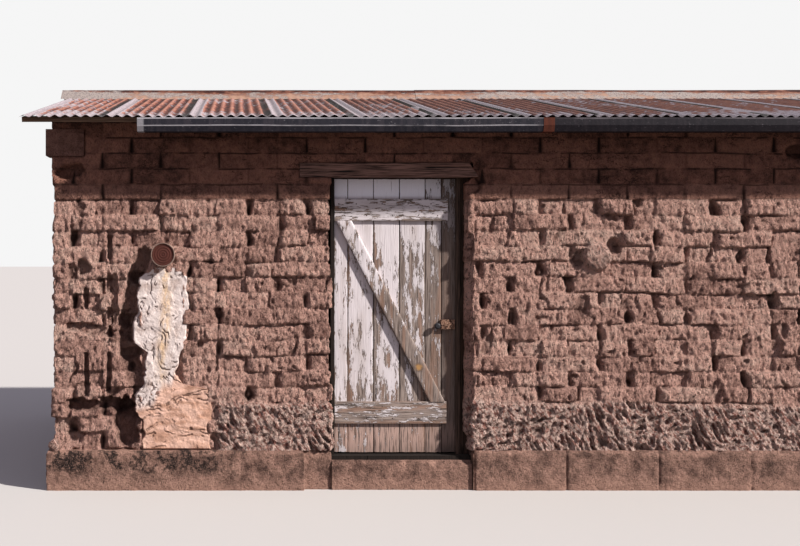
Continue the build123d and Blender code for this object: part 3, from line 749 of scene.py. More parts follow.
@dataclass(frozen=True)
class StreakedMetalFinish:
    """Painted or weathered metal with runs and specks of another colour, painted highlight lines at given
    heights and, if asked for, a painted highlight from a named value.
    """

    name: str
    base: Color
    run: Color
    spot: Color
    along: int = 2
    roughness: float = 0.55
    run_share: float = 0.5
    highlight_lines: tuple[Pair, ...] = ()
    highlight_line_share: float = 0.75
    bright_to: float | None = None
    shine: float = 0.15
    highlight_marked: str = ""

    def material(self) -> Material:
        """Builds the material over object coordinates, squeezed along the runs.

        Returns:
            The material.
        """
        t = Tree(self.name, self.roughness, self.shine)
        runs = t.band(t.noise(30.0, 5.0, t.drawn_out(self.along, 0.12), rough=0.6), 0.42, 0.68)
        color = t.mix(t.times(runs, self.run_share), self.base, self.run)
        spots = t.band(t.noise(55.0, 4.0, rough=0.7), 0.62, 0.72)
        color = t.mix(t.times(spots, 0.35), color, self.spot)
        # Painted highlight: a pale band at each given height, where light catches the lip or crease
        for height, half in self.highlight_lines:
            level = t.scaled(t.noise(1.7, 2.0), 0.012, t.minus(t.height(), 0.006))
            off = t.reckon("ABSOLUTE", t.minus(level, height))
            patchy = t.scaled(t.noise(1.4, 3.0), 0.7, t.times(t.noise(12.0, 3.0), 0.3))
            broken = t.band(patchy, 0.36, 0.56)
            broken = t.scaled(broken, self.highlight_line_share, 0.2 * self.highlight_line_share)
            line = t.times(t.band(off, half, half * 0.5), broken)
            color = t.mix(line, color, self.spot)
        if self.highlight_marked:
            # Painted highlight where the named value is high
            color = t.mix(t.times(t.value(self.highlight_marked), 0.30), color, self.spot)
        if self.bright_to is not None:
            end = t.band(t.coordinate("X"), self.bright_to, self.bright_to - 0.015)
            color = t.mix(t.times(end, 0.5), color, self.spot)
        return t.finish(color, t.bump(t.noise(120.0, 4.0), 0.0012))


@dataclass(frozen=True)
class PlasterFinish:
    """Thick pale plaster: white above, peach and layered below, with an ochre run."""

    white: Color = (226, 210, 204)
    grey: Color = (192, 172, 164)
    peach: Color = (222, 180, 160)
    tan: Color = (190, 146, 124)
    ochre: Color = (224, 184, 136)
    crack: Color = (84, 60, 50)

    def material(self) -> Material:
        """Builds the material, which reads the plaster's lower, run and crack values; the crack value
        holds cracks, frayed edges and painted shadow under the flakes' steps.

        Returns:
            The material.
        """
        t = Tree("plaster", roughness=0.9, shine=0.2)
        soft = t.noise(12.0, 5.0, rough=0.6)
        upper = t.ramp(soft, [(0.34, self.grey), (0.52, self.white)])
        beds = t.noise(8.0, 6.0, t.drawn_out(2, 2.5))
        lower = t.ramp(beds, [(0.38, self.tan), (0.56, self.peach)])
        color = t.mix(t.value("lower"), upper, lower)
        spill = t.noise(26.0, 5.0, t.drawn_out(2, 0.45), rough=0.65)
        run = t.times(t.value("run"), t.band(spill, 0.32, 0.58))
        color = t.mix(t.times(run, 0.72), color, self.ochre)
        splits = t.band(t.cells(20.0, t.drawn_out(2, 0.6), "DISTANCE_TO_EDGE"), 0.012, 0.0)
        dark = t.most(t.value("crack"), t.times(splits, 0.30))
        color = t.mix(dark, color, self.crack)
        fine = t.bump(t.noise(130.0, 4.0, rough=0.65), 0.004)
        return t.finish(color, t.bump(t.noise(28.0, 5.0), 0.009, fine))


@dataclass(frozen=True)
class HousePlan:
    """Outer sizes of the house, read from the frame."""

    left: float
    right: float
    front: float
    back: float
    thickness: float
    plinth_top: float
    wall_top: float
    door_left: float
    door_right: float
    lintel_bottom: float
    lintel_top: float
    lintel_left: float
    lintel_right: float

    @classmethod
    def read(cls) -> "HousePlan":
        """Reads the plan from the boxes of the walls and the lintel.

        Returns:
            The plan.
        """
        (left, front, foot), (door_left, inner, top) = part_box("front_wall_left")
        (door_right, _, _), (right, _, _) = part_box("front_wall_right")
        (lintel_left, _, lintel_bottom), (lintel_right, _, lintel_top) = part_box("lintel_front")
        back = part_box("back_wall")[1][1]
        return cls(
            left, right, front, back, inner - front, foot, top, door_left, door_right,
            lintel_bottom, lintel_top, lintel_left, lintel_right,
        )

    @property
    def inner_front(self) -> float:
        """Where the front wall's inner face stands."""
        return self.front + self.thickness

    @property
    def inner_back(self) -> float:
        """Where the back wall's inner face stands."""
        return self.back - self.thickness


@dataclass(frozen=True)
class Bite:
    """A piece that is missing from a wall's face, or stands out of it where depth is negative.

    It is an ellipse, or the same ellipse drawn from its centre to another place.
    """

    along: float
    height: float
    half_along: float
    half_height: float
    depth: float
    ragged: float = 0.35
    to: Pair | None = None

    def sample(self, p: Array, z: Array) -> Array:
        """Depth of the bite: an ellipse, or a drawn-out one, with a ragged rim and steep sides.

        Args:
            p: Places along the wall.
            z: Heights.

        Returns:
            Depth into the wall at each place.
        """
        a = (p - self.along) / self.half_along
        h = (z - self.height) / self.half_height
        if self.to is not None:
            run_a = (self.to[0] - self.along) / self.half_along
            run_h = (self.to[1] - self.height) / self.half_height
            share = np.clip((a * run_a + h * run_h) / (run_a**2 + run_h**2), 0, 1)
            a, h = a - share * run_a, h - share * run_h
        reach = np.sqrt(a**2 + h**2) + self.ragged * fractal(p * 17, z * 17, 4, seed=211)
        return self.depth * rise(reach, 1.15, 0.75)


@dataclass(frozen=True)
class Zone:
    """A rectangle of a wall's face that stands out, or in where out is negative, with soft edges."""

    low_p: float
    high_p: float
    low_z: float
    high_z: float
    out: float
    margins: Triple = (0.01, 0.01, 0.008)
    hides: float = 1.0
    ragged: float = 0.0

    def lay_on(self, shift: Array, p: Array, z: Array) -> Array:
        """Lays the zone over a relief: its share is 1 inside and falls to 0 over its margins.

        Args:
            shift: Outward shift of the face so far.
            p: Places along the wall.
            z: Heights.

        Returns:
            The shift with the zone on it.
        """
        before, after, beyond = self.margins
        p = p + self.ragged * fractal(z * 9, z * 0 + 7, 3, seed=131)
        inside = rise(p, self.low_p - before, self.low_p) * rise(p, self.high_p + after, self.high_p)
        inside = inside * rise(z, self.low_z - beyond, self.low_z)
        inside = inside * rise(z, self.high_z + beyond, self.high_z)
        return shift * (1 - self.hides * inside) + self.out * inside


@dataclass(frozen=True)
class Bricks:
    """Where each point of a wall's face lies in the bond: its course, its brick, its joints."""

    row: Array
    in_row: Array
    worn: Array
    column: Array
    tone: Array
    own: Array
    joint: Array
    to_joint: Array
    to_cut: Array
    is_open: Array
    bed_row: Array
    to_bed: Array


@dataclass(frozen=True)
class Relief:
    """What a wall's face is like at each point: outward shift and values for its finish."""

    shift: Array
    # Painted shade in hollows, with dark joint lines, from 0 to 1
    hollow: Array
    coat: Array
    tone: Array
    age: Array


@dataclass
class AdobeRelief:
    """Courses of mud bricks in running bond, worn back below the shelter of the eave.

    A pair holds a size at its least and what chance or wear adds to it.
    """

    top: float
    course: float = 0.119
    brick: float = 0.445
    sheltered_courses: int = 4
    set_back: float = 0.011
    cut_share: float = 0.55
    joint_width: float = 0.0042
    joint_depth: Pair = (0.005, 0.009)
    open_width: Pair = (0.010, 0.013)
    open_depth: Pair = (0.014, 0.040)
    open_lean: float = 0.024
    cut_width: Pair = (0.0045, 0.006)
    cut_depth: Pair = (0.004, 0.026)
    bed_width: Pair = (0.0042, 0.0028)
    bed_depth: Pair = (0.004, 0.011)
    brick_depth: Pair = (0.004, 0.032)
    fallen_edge: Pair = (0.003, 0.016)
    fallen_bed: float = 0.0055
    runnel_depth: float = 0.013
    grain_depth: float = 0.010
    sheltered_grain: float = 0.0045
    hole_depth: float = 0.020
    broad_wear: Pair = (0.013, 0.014)
    strand_depth: float = 0.042
    coat_top: float = 0.66
    bites: tuple[Bite, ...] = ()
    zones: tuple[Zone, ...] = ()
    bare_of_coat: tuple[Pair, ...] = ()

    def wobble(self, p: Array, z: Array) -> Array:
        """How far a bed joint strays up or down: broad noise, stronger where the wall is worn."""
        worn = rise(z, self.top - 3.5 * self.course, self.top - 6 * self.course)
        broad = (0.005 + 0.017 * worn) * fractal(p * 2.1, z * 2.6, 4, seed=5)
        return broad + 0.007 * worn * fractal(p * 6.5, z * 3.0, 2, seed=6)

    def bricks(self, p: Array, z: Array) -> Bricks:
        """Finds each point's brick, in courses that are counted down from the wall's head.

        Every other course starts half a brick on, and many worn bricks are cut once more. Three
        upright joints in every five are open.

        Args:
            p: Places along the wall.
            z: Heights before the wobble of the bed joints.

        Returns:
            The bricks and the distances to their joints.
        """
        down = (self.top - z) / self.course + 1e-6
        row = np.floor(down).astype(np.int64)
        in_row = down - row
        worn = np.clip((row - self.sheltered_courses + 0.2) / 1.2, 0, 1)
        stray = 0.030 * worn * fractal(p * 3.1, z * 4.0, 2, seed=9)
        q = (p + stray) / self.brick - 0.5 * (row % 2)
        column = np.floor(q).astype(np.int64)
        in_brick = q - column
        cut_at = 0.36 + 0.28 * lattice(column, row, 21)
        is_cut = (lattice(column, row, 22) < self.cut_share) & (row >= self.sheltered_courses)
        joint = np.where(in_brick < 0.5, column, column + 1)
        part = column * 2 + np.where(is_cut & (in_brick > cut_at), 1, 0)
        return Bricks(
            row=row,
            in_row=in_row,
            worn=worn,
            column=column,
            tone=lattice(part, row, 41),
            own=lattice(part, row, 43) - 0.5,
            joint=joint,
            to_joint=np.minimum(in_brick, 1 - in_brick) * self.brick,
            to_cut=np.where(is_cut, np.abs(in_brick - cut_at) * self.brick, self.brick * 20),
            is_open=((3 * row + 2 * joint) % 5 < 3) & (row > self.sheltered_courses),
            bed_row=np.where(in_row < 0.5, row, row + 1),
            to_bed=np.minimum(in_row, 1 - in_row) * self.course,
        )

    def upright_joints(self, b: Bricks, z: Array) -> Array:
        """Upright joints and cuts: dents, the open ones bellied and leaning.

        Args:
            b: The bricks.
            z: Heights before the wobble of the bed joints.

        Returns:
            Their depth at each place.
        """
        chance = lattice(b.joint, b.row, 32)
        lean = self.open_lean * fractal(z * 14, b.joint * 3.7, 2, seed=33) * b.worn
        width = np.where(b.is_open, spread(self.open_width, chance), self.joint_width)
        open_depth = spread(self.open_depth, lattice(b.joint, b.row, 38))
        depth = np.where(b.is_open, open_depth, spread(self.joint_depth, chance))
        belly = np.sin(np.pi * np.clip(b.in_row * 0.94 + 0.03, 0, 1)) ** 0.6
        width = width * np.where(b.is_open, 0.35 + 0.75 * belly, 1.0)
        reach = rise(b.in_row, 0.0, 0.15 + 0.55 * chance) * np.where(b.is_open, 1, 0.8)
        groove = dent(b.to_joint + lean * b.is_open, width) * depth * (0.4 + 0.6 * reach)
        rare = lattice(b.column, b.row, 31) ** 3
        cut = dent(b.to_cut, spread(self.cut_width, rare)) * spread(self.cut_depth, rare) * b.worn
        return np.maximum(groove, cut)

    def bed_joints(self, b: Bricks, p: Array) -> Array:
        """Depth of the bed joints: dents that come and go along the courses."""
        strength = 0.06 + 0.94 * rise(smooth_noise(p * 6.1, b.bed_row * 3.1, 51), 0.50, 0.84)
        return dent(b.to_bed, spread(self.bed_width, b.worn)) * spread(self.bed_depth, b.worn) * strength

    def dark_joints(self, b: Bricks, p: Array) -> Array:
        """Dark lines of the sheltered joints: wedges at the upright ones, thinner at the beds.

        Args:
            b: The bricks.
            p: Places along the wall.

        Returns:
            Their darkness, 0 to 1.
        """
        chance = lattice(b.joint, b.row, 32)
        wedge = spread(self.open_width, chance) * (0.4 + b.in_row * lattice(b.joint, b.row, 37))
        slant = 0.02 * (b.in_row - 0.5) * (lattice(b.joint, b.row, 36) - 0.5)
        upright = dent(b.to_joint + slant, wedge) * (0.35 + 0.65 * rise(chance, 0.2, 0.6))
        bed = dent(b.to_bed, 0.0060) * rise(smooth_noise(p * 9.0, b.bed_row * 5.7, 53), 0.35, 0.75)
        return np.maximum(upright, 0.6 * bed)

    def sample(self, p: Array, z: Array) -> Relief:
        """Relief of the wall's face.

        Each brick stands out or in by its own depth, less its joints, its fallen edges, small
        holes and broad wear. Noise drawn out upwards pits the worn faces. The splash coat lies
        over them at the foot, then come the bites and the zones.

        Args:
            p: Places along the wall.
            z: Heights before the wobble of the bed joints.

        Returns:
            The relief at each place.
        """
        b = self.bricks(p, z)
        worn = b.worn
        down = b.row + b.in_row
        set_back = self.set_back * rise(down, self.sheltered_courses, self.sheltered_courses + 0.08)
        set_back = set_back * rise(down, self.sheltered_courses + 1, self.sheltered_courses + 0.92)
        groove, bed_groove = self.upright_joints(b, z), self.bed_joints(b, p)
        fallen = spread(self.fallen_edge, b.is_open) * (1 - rise(b.to_joint, 0.0, 0.055)) * worn
        fallen = fallen + self.fallen_bed * (1 - rise(b.to_bed, 0.0, 0.022)) * worn
        own = b.own * spread(self.brick_depth, worn)
        warp = 0.35 * fractal(p * 6, z * 6, 2, seed=59)
        runnels = 1 - np.abs(fractal(p * 30 + warp * 5, z * 15 + warp * 3, 3, seed=61))
        grain = self.grain_depth * fractal(p * 40, z * 26, 2, seed=71)
        rough = worn * (self.runnel_depth * (runnels**2 - 0.55) + grain)
        rough = rough + self.sheltered_grain * fractal(p * 26, z * 30, 3, seed=73) * (1 - worn)
        hole = worn * rise(smooth_noise(p * 17 + warp * 4, z * 14 + warp * 3, 81), 0.83, 0.94)
        broad = worn * spread(self.broad_wear, fractal(p * 1.6, z * 1.3, 3, seed=91))
        shift = own + rough - groove - bed_groove - fallen - self.hole_depth * hole - broad - set_back

        # Painted shade: grooves, bed joints, holes and runnels darken by their depth; the sheltered
        # courses add dark joint lines
        hollow = np.clip(groove / 0.042 + bed_groove / 0.030 + 0.6 * hole, 0, 1)
        hollow = hollow * (0.3 + 0.7 * worn) + 1.2 * (1 - worn) * self.dark_joints(b, p)
        hollow = hollow + 0.50 * worn * rise(runnels, 0.56, 0.32) * (1 - hollow)

        coat = self.coat_at(p, z)
        strands = self.strands(p, z)
        lumps = self.strand_depth * (strands - 0.55) + 0.010 * fractal(p * 44, z * 44, 2, seed=103)
        lumps = lumps + 0.006 + 0.010 * fractal(p * 3, z * 3, 2, seed=105)
        shift = shift * (1 - coat) + lumps * coat
        # Painted shade between the splash coat's strands
        hollow = hollow * (1 - coat) + 0.88 * coat * rise(strands, 0.42, 0.14)

        for bite in self.bites:
            depth = bite.sample(p, z)
            share = np.clip(np.abs(depth) / 0.01, 0, 1)
            if bite.depth < 0:
                knobs = 0.012 * fractal(p * 42, z * 42, 3, seed=121)
                shift = shift * (1 - share) + (knobs - 0.004) * share
                coat = np.maximum(coat, 0.45 * share)
                # Painted shade between the strands of the knob
                hollow = hollow * (1 - share) + 0.6 * share * rise(strands, 0.5, 0.1)
            else:
                coat = coat * (1 - share)
                # Deep bites are darkened as painted shade
                hollow = np.maximum(hollow, 0.6 * np.clip(depth / 0.06, 0, 1))
            shift = shift - depth
        for zone in self.zones:
            shift = zone.lay_on(shift, p, z)
        return Relief(shift, hollow, coat, b.tone, worn)

    def strands(self, p: Array, z: Array) -> Array:
        """Fibrous lumps of the splash coat: ridges of noise, drawn out downhill both ways.

        Args:
            p: Places along the wall.
            z: Heights.

        Returns:
            Heights of the lumps, 0 to 1.
        """
        bend = 0.6 * fractal(p * 3, z * 3, 2, seed=99)
        across = p * 0.88 + z * 0.47
        along = -p * 0.47 + z * 0.88
        first = 1 - np.abs(fractal(across * 31 + bend, along * 10 + bend * 2, 4, seed=101))
        second = 1 - np.abs(fractal(across * 11, along * 29 + bend, 3, seed=107))
        share = rise(smooth_noise(p * 4, z * 4, 109), 0.25, 0.65)
        return (first * share + second * (1 - share)) ** 2

    def coat_at(self, p: Array, z: Array) -> Array:
        """Share of the splash coat: full at the foot, with a ragged upper edge.

        Args:
            p: Places along the wall.
            z: Heights.

        Returns:
            The share at each place, 0 to 1.
        """
        edge = self.coat_top + 0.07 * fractal(p * 2.6, z * 2.6, 4, seed=111)
        coat = rise(z, edge + 0.02, edge - 0.03)
        for low_p, high_p in self.bare_of_coat:
            coat = coat * (1 - rise(p, low_p - 0.06, low_p) * rise(p, high_p + 0.06, high_p))
        return coat


def turned_in(first: float, last: float, face: float, inner: float) -> list[Pair]:
    """Corners of an outer line that turns in at both ends, as far as the inner face.

    Args:
        first: x of its first end.
        last: x of its last end.
        face: y of the outer face.
        inner: y of the inner face.

    Returns:
        The four corners in plan.
    """
    return [(first, inner), (first, face), (last, face), (last, inner)]


@dataclass
class WallFace:
    """A run of a wall's outer line in plan, with what each of its points is like.

    The line is a chain of corners. Between two corners the points lie evenly; near a corner
    they follow the parabola that joins the two runs.
    """

    corners: list[Pair]
    start_place: float
    steps: tuple[float, ...]
    corner_radius: float = 0.03

    def trace(self) -> tuple[Array, Array, Array, Array]:
        """Points of the line, both with rounded and with square corners.

        Returns:
            Rounded points, square points, outward directions and places along the line.
        """
        corners = np.array(self.corners)
        runs = np.diff(corners, axis=0)
        lengths = np.linalg.norm(runs, axis=1)
        directions = runs / lengths[:, None]
        outward = np.column_stack([directions[:, 1], -directions[:, 0]])
        starts = np.concatenate([[0.0], np.cumsum(lengths)])
        pieces = [
            np.linspace(start, start + length, max(2, round(length / step)), endpoint=False)
            for start, length, step in zip(starts, lengths, self.steps)
        ]
        along = np.concatenate([*pieces, starts[-1:]])
        run = np.minimum(np.searchsorted(starts, along, side="right") - 1, len(lengths) - 1)
        square = corners[run] + directions[run] * (along - starts[run])[:, None]
        normals = outward[run]
        rounded = square.copy()
        radius = self.corner_radius
        for turn in range(1, len(corners) - 1):
            past = along - starts[turn]
            near = np.abs(past) < radius
            share = ((past[near] + radius) / (2 * radius))[:, None]
            first = corners[turn] - directions[turn - 1] * radius
            last = corners[turn] + directions[turn] * radius
            middle = corners[turn] * 2 * share * (1 - share)
            rounded[near] = first * (1 - share) ** 2 + middle + last * share**2
            mixed = outward[turn - 1] * (1 - share) + outward[turn] * share
            normals[near] = mixed / np.linalg.norm(mixed, axis=1, keepdims=True)
        return rounded, square, normals, along + self.start_place


@dataclass
class AdobeWalls:
    """The six walls, each a shell whose outer faces carry the bricks.

    The steps are the distances between points along the outer line: on the front, round its
    ends and on the walls at the sides and the back. The inner line keeps end_inset clear of
    both ends, so that a wall's end strips lean away from the next wall. The pattern of the back
    wall starts at back_place, far from the front's.
    """

    plan: HousePlan
    front_step: float = 0.0092
    end_step: float = 0.016
    far_step: float = 0.019
    rows_per_course: int = 10
    far_rows_per_course: int = 6
    seam: float = 0.045
    seam_depth: float = 0.014
    end_inset: float = 0.10
    back_place: float = 20.0
    seat_depth: float = 0.022
    plaster_seat: float = 0.038

    def relief(self) -> AdobeRelief:
        """Makes the walls' relief, with what the front has lost and gained.

        Returns:
            The relief.
        """
        plan = self.plan
        slots = (
            (-3.241, 1.53, 0.020, -3.245, 1.40), (-3.241, 1.03, 0.018, -3.235, 0.73),
            (-3.066, 1.92, 0.020, -3.062, 1.77), (-3.066, 1.63, 0.020, -3.070, 1.52),
            (-3.066, 1.38, 0.020, -3.060, 1.18), (-3.066, 1.03, 0.018, -3.070, 0.76),
        )
        bites = (
            Bite(-3.34, 0.630, 0.09, 0.050, 0.105, ragged=0.9, to=(-2.97, 0.63)),
            Bite(-2.925, 0.40, 0.085, 0.09, 0.12, ragged=0.6, to=(-2.93, 0.60)),
            Bite(-3.33, 0.40, 0.07, 0.06, 0.04),
            Bite(-2.84, 0.80, 0.070, 0.05, 0.060, ragged=0.5, to=(-2.91, 1.05)),
            Bite(-2.91, 1.05, 0.080, 0.05, 0.080, ragged=0.5, to=(-2.925, 1.30)),
            Bite(-2.925, 1.30, 0.070, 0.05, 0.080, ragged=0.5, to=(-2.86, 1.62)),
            Bite(-2.86, 1.62, 0.060, 0.05, 0.070, ragged=0.5, to=(-2.80, 1.80)),
            Bite(-3.30, 1.24, 0.13, 0.035, 0.045, to=(-3.08, 1.20)),
            Bite(-3.27, 1.70, 0.060, 0.060, 0.050, ragged=0.6),
            *(Bite(p, high, half, 0.02, 0.050, to=(end, low)) for p, high, half, end, low in slots),
            Bite(-3.475, 0.335, 0.040, 0.045, -0.045, ragged=0.2),
            Bite(-3.02, 1.28, 0.03, 0.05, 0.040, to=(-3.03, 1.60)),
            Bite(-0.275, 2.325, 0.05, 0.065, 0.060),
            Bite(0.525, 1.75, 0.045, 0.060, 0.045),
            Bite(0.79, 1.85, 0.055, 0.060, 0.045),
            Bite(0.90, 1.91, 0.045, 0.040, -0.016),
            Bite(0.658, 1.766, 0.104, 0.104, -0.028, ragged=0.10),
            Bite(-3.40, 2.40, 0.07, 0.05, 0.055, ragged=0.6, to=(-3.34, 2.43)),
            Bite(2.21, 2.58, 0.115, 0.055, 0.080, ragged=0.15),
        )
        lintel = Zone(
            plan.lintel_left, plan.lintel_right + 0.004, plan.lintel_bottom, plan.lintel_top,
            -self.seat_depth,
        )
        (_, _, block_low), (block_right, _, block_high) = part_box("corner_block_left")
        block = Zone(plan.left - 0.3, block_right, block_low, block_high, -self.seat_depth)
        (other_left, _, other_low), (_, _, other_high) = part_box("corner_block_right")
        other = Zone(other_left, plan.right + 0.3, other_low, other_high, -self.seat_depth)
        (left, _, low), (right, _, high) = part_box("plaster_patch")
        upper = Zone(left + 0.06, right - 0.25, low + 0.50, high - 0.06, -self.plaster_seat)
        lower = Zone(left + 0.06, right - 0.06, low - 0.05, low + 0.42, -self.plaster_seat)
        swollen = {"margins": (0.02, 0.03, 0.04), "hides": 0.7, "ragged": 0.012}
        jamb = plan.door_right
        zones = (
            Zone(jamb - 0.105, jamb - 0.060, 0.45, 2.33, 0.046, **swollen),
            Zone(jamb - 0.055, jamb - 0.012, 1.97, 2.24, 0.034, **swollen),
            lintel, block, other, upper, lower,
        )
        return AdobeRelief(plan.wall_top, bites=bites, zones=zones, bare_of_coat=((-3.7, -2.27),))

    def shell(
        self,
        name: str,
        face: WallFace,
        inner: tuple[float, float, float, float],
        levels: Array,
        top_of: Callable[[Array], Array] | None = None,
        square_from: float = 99.0,
        settles: bool = True,
    ) -> Piece:
        """Builds one wall: its worn outer face, flat inner face and the strips that close it.

        Towards both ends of its line the face comes to one common depth, where the next wall
        does the same, so that no gap shows between them.

        Args:
            name: Name of the piece.
            face: Outer line in plan.
            inner: Lowest and highest x and y of the inner line's box, which points close onto.
            levels: Heights of the rows, from the foot up.
            top_of: Height of the wall's head at each y, where it isn't level.
            square_from: Height above which corners are square, where a wall runs on.
            settles: Whether the line's ends come to the common depth.

        Returns:
            The wall's object.
        """
        relief = self.relief()
        rounded, square, normals, place = face.trace()
        low, high = levels[0], levels[-1]
        z = np.repeat(levels[:, None], len(place), axis=1)
        if top_of is not None:
            z = low + (z - low) / (high - low) * (top_of(square[:, 1])[None, :] - low)
        p = np.repeat(place[None, :], len(levels), axis=0)
        r = relief.sample(p, z)
        tall = rise(z, square_from - 0.02, square_from + 0.02)[..., None]
        line = rounded[None] * (1 - tall) + square[None] * tall
        settle = rise(z, low, low + 0.02) * rise(z, z[-1][None, :], z[-1][None, :] - 0.02)
        shift = r.shift
        if settles:
            to_end = np.minimum(place - place[0], place[-1] - place)
            free = rise(to_end, 0.0, self.seam)[None, :]
            worn_from = relief.top - relief.sheltered_courses * relief.course
            common = self.seam_depth * rise(z, worn_from, worn_from - 0.01) * rise(z, 0.62, 0.70)
            shift = shift * free - common * (1 - free)
            settle = settle * free
        moved = z + relief.wobble(p, z) * settle
        plan_points = line + normals[None] * shift[..., None]
        outer = np.concatenate([plan_points, moved[..., None]], axis=-1)
        x0, x1, y0, y1 = inner
        inside = np.stack([np.clip(square[:, 0], x0, x1), np.clip(square[:, 1], y0, y1)], axis=-1)
        back = np.stack([np.column_stack([inside, z[row]]) for row in (0, -1)])
        parts = MeshParts()
        parts.grid(outer, hollow=r.hollow, coat=r.coat, tone=r.tone, age=r.age)
        flat = {"tone": 0.5, "age": 0.4}
        parts.grid(back, flip=True, **flat)
        parts.grid(np.stack([back[0], outer[0]]), **flat)
        parts.grid(np.stack([outer[-1], back[-1]]), **flat)
        for column, order in ((0, 1), (-1, -1)):
            edge = outer[:, column]
            behind = np.column_stack([np.tile(inside[column], (len(edge), 1)), edge[:, 2]])
            parts.grid(np.stack([behind, edge][::order], axis=1), **flat)
        return parts.build(name, sharp_degrees=70.0)

    def levels(self, low: float, high: float, per_course: int) -> Array:
        """Heights that fall on the bed joints and evenly between them.

        Args:
            low: Foot of the wall.
            high: Head of the wall.
            per_course: Rows to each course.

        Returns:
            The heights, from the foot up.
        """
        step = AdobeRelief.course / per_course
        top = self.plan.wall_top
        first = math.ceil((low - top) / step + 0.3)
        last = math.floor((high - top) / step - 0.3)
        inside = top + step * np.arange(first, last + 1)
        return np.concatenate([[low], inside, [high]])

    def beside_door(self, part: str, first: float, last: float) -> Piece:
        """Builds the front wall on one side of the door.

        Args:
            part: Side of the door, left or right.
            first: x of its first end.
            last: x of its last end.

        Returns:
            The wall's object.
        """
        plan, inset, inner = self.plan, self.end_inset, self.plan.inner_front
        steps = (self.end_step, self.front_step, self.end_step)
        line = turned_in(first, last, plan.front, inner)
        face = WallFace(line, first - plan.thickness, steps)
        box = (first + inset, last - inset, inner, inner)
        levels = self.levels(plan.plinth_top, plan.wall_top, self.rows_per_course)
        return self.shell(f"adobe_front_{part}", face, box, levels, square_from=plan.lintel_bottom)

    def build(self, material: Material) -> None:
        """Builds and dresses all six walls.

        Args:
            material: The adobe finish.
        """
        plan, inset = self.plan, self.end_inset
        far = self.levels(plan.plinth_top, plan.wall_top, self.far_rows_per_course)
        over = self.levels(plan.lintel_top, plan.wall_top, self.rows_per_course)
        line = [(plan.door_left, plan.front), (plan.door_right, plan.front)]
        above = WallFace(line, plan.door_left, (self.front_step,))
        above_box = (plan.door_left, plan.door_right, plan.inner_front, plan.inner_front)
        line = turned_in(plan.right, plan.left, plan.back, plan.inner_back)
        behind = WallFace(line, self.back_place, (self.far_step,) * 3)
        behind_box = (plan.left + inset, plan.right - inset, plan.inner_back, plan.inner_back)
        walls = {
            "front_wall_left": self.beside_door("left", plan.left, plan.door_left),
            "front_wall_over_door": self.shell(
                "adobe_over_door", above, above_box, over, settles=False
            ),
            "front_wall_right": self.beside_door("right", plan.door_right, plan.right),
            "back_wall": self.shell("adobe_back", behind, behind_box, far),
        }
        for side, node in ((-1, "left_gable_wall"), (1, "right_gable_wall")):
            walls[node] = self.gable(side, node, far)
        for node, piece in walls.items():
            mount(piece, "house", material, node)

    def gable(self, side: int, node: str, levels: Array) -> Piece:
        """Builds a gable wall: a block between the long walls, and a head under the roof.

        Args:
            side: -1 for the left gable, 1 for the right.
            node: The gable's node, whose box gives the ridge.
            levels: Heights of the block's rows.

        Returns:
            The gable's object.
        """
        plan = self.plan
        t = plan.thickness
        outer = plan.left if side < 0 else plan.right
        inner = outer - side * t
        inner_front, inner_back = plan.inner_front, plan.inner_back
        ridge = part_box(node)[1][2]
        _, eave_y, eave_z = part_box("roof_sheets_front")[0]
        slope = (ridge - eave_z) / -eave_y

        def head(y: Array) -> Array:
            """Height of the gable's head: it rises evenly from both eaves to the ridge."""
            return ridge - slope * np.abs(y)

        place = plan.right + t if side > 0 else plan.left - (plan.back - plan.front) + t
        ends = [(outer, inner_front), (outer, inner_back)][::side]
        head_ends = [(outer, plan.front), (outer, plan.back)][::side]
        block = self.shell(
            "block", WallFace(ends, place, (self.far_step,)),
            (inner, inner, inner_front, inner_back), levels,
        )
        rows = self.levels(plan.wall_top, ridge, self.far_rows_per_course)
        top = self.shell(
            "head", WallFace(head_ends, place - t, (self.far_step,)),
            (inner, inner, plan.front, plan.back), rows, top_of=head,
        )
        return join([block, top], f"adobe_{node}")


def join(pieces: Sequence[Piece], name: str) -> Piece:
    """Joins meshes at the origin into one object.

    Args:
        pieces: Objects to join; they are used up.
        name: Name of the joined piece.

    Returns:
        The joined object.
    """
    with bpy.context.temp_override(active_object=pieces[0], selected_editable_objects=list(pieces)):
        bpy.ops.object.join()
    pieces[0].name = name
    pieces[0].data.name = name
    return pieces[0]


def mount(piece: Piece, body: str, material: Material, node: str) -> None:
    """Makes a piece part of the object: its finish, body, slot and the node it stands for.

    Args:
        piece: The new piece.
        body: Body that it moves with.
        material: Its finish.
        node: Node that it stands for.
    """
    piece.data.materials.clear()
    piece.data.materials.append(material)
    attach(piece, body)
    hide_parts(node)
    log.info("%s stands for %s: %d faces", piece.name, node, len(piece.data.polygons))


def repaint(node: Piece, material: Material) -> None:
    """Gives a node of the frame a better finish."""
    if not node.material_slots:
        node.data.materials.append(material)
    for place in node.material_slots:
        place.material = material


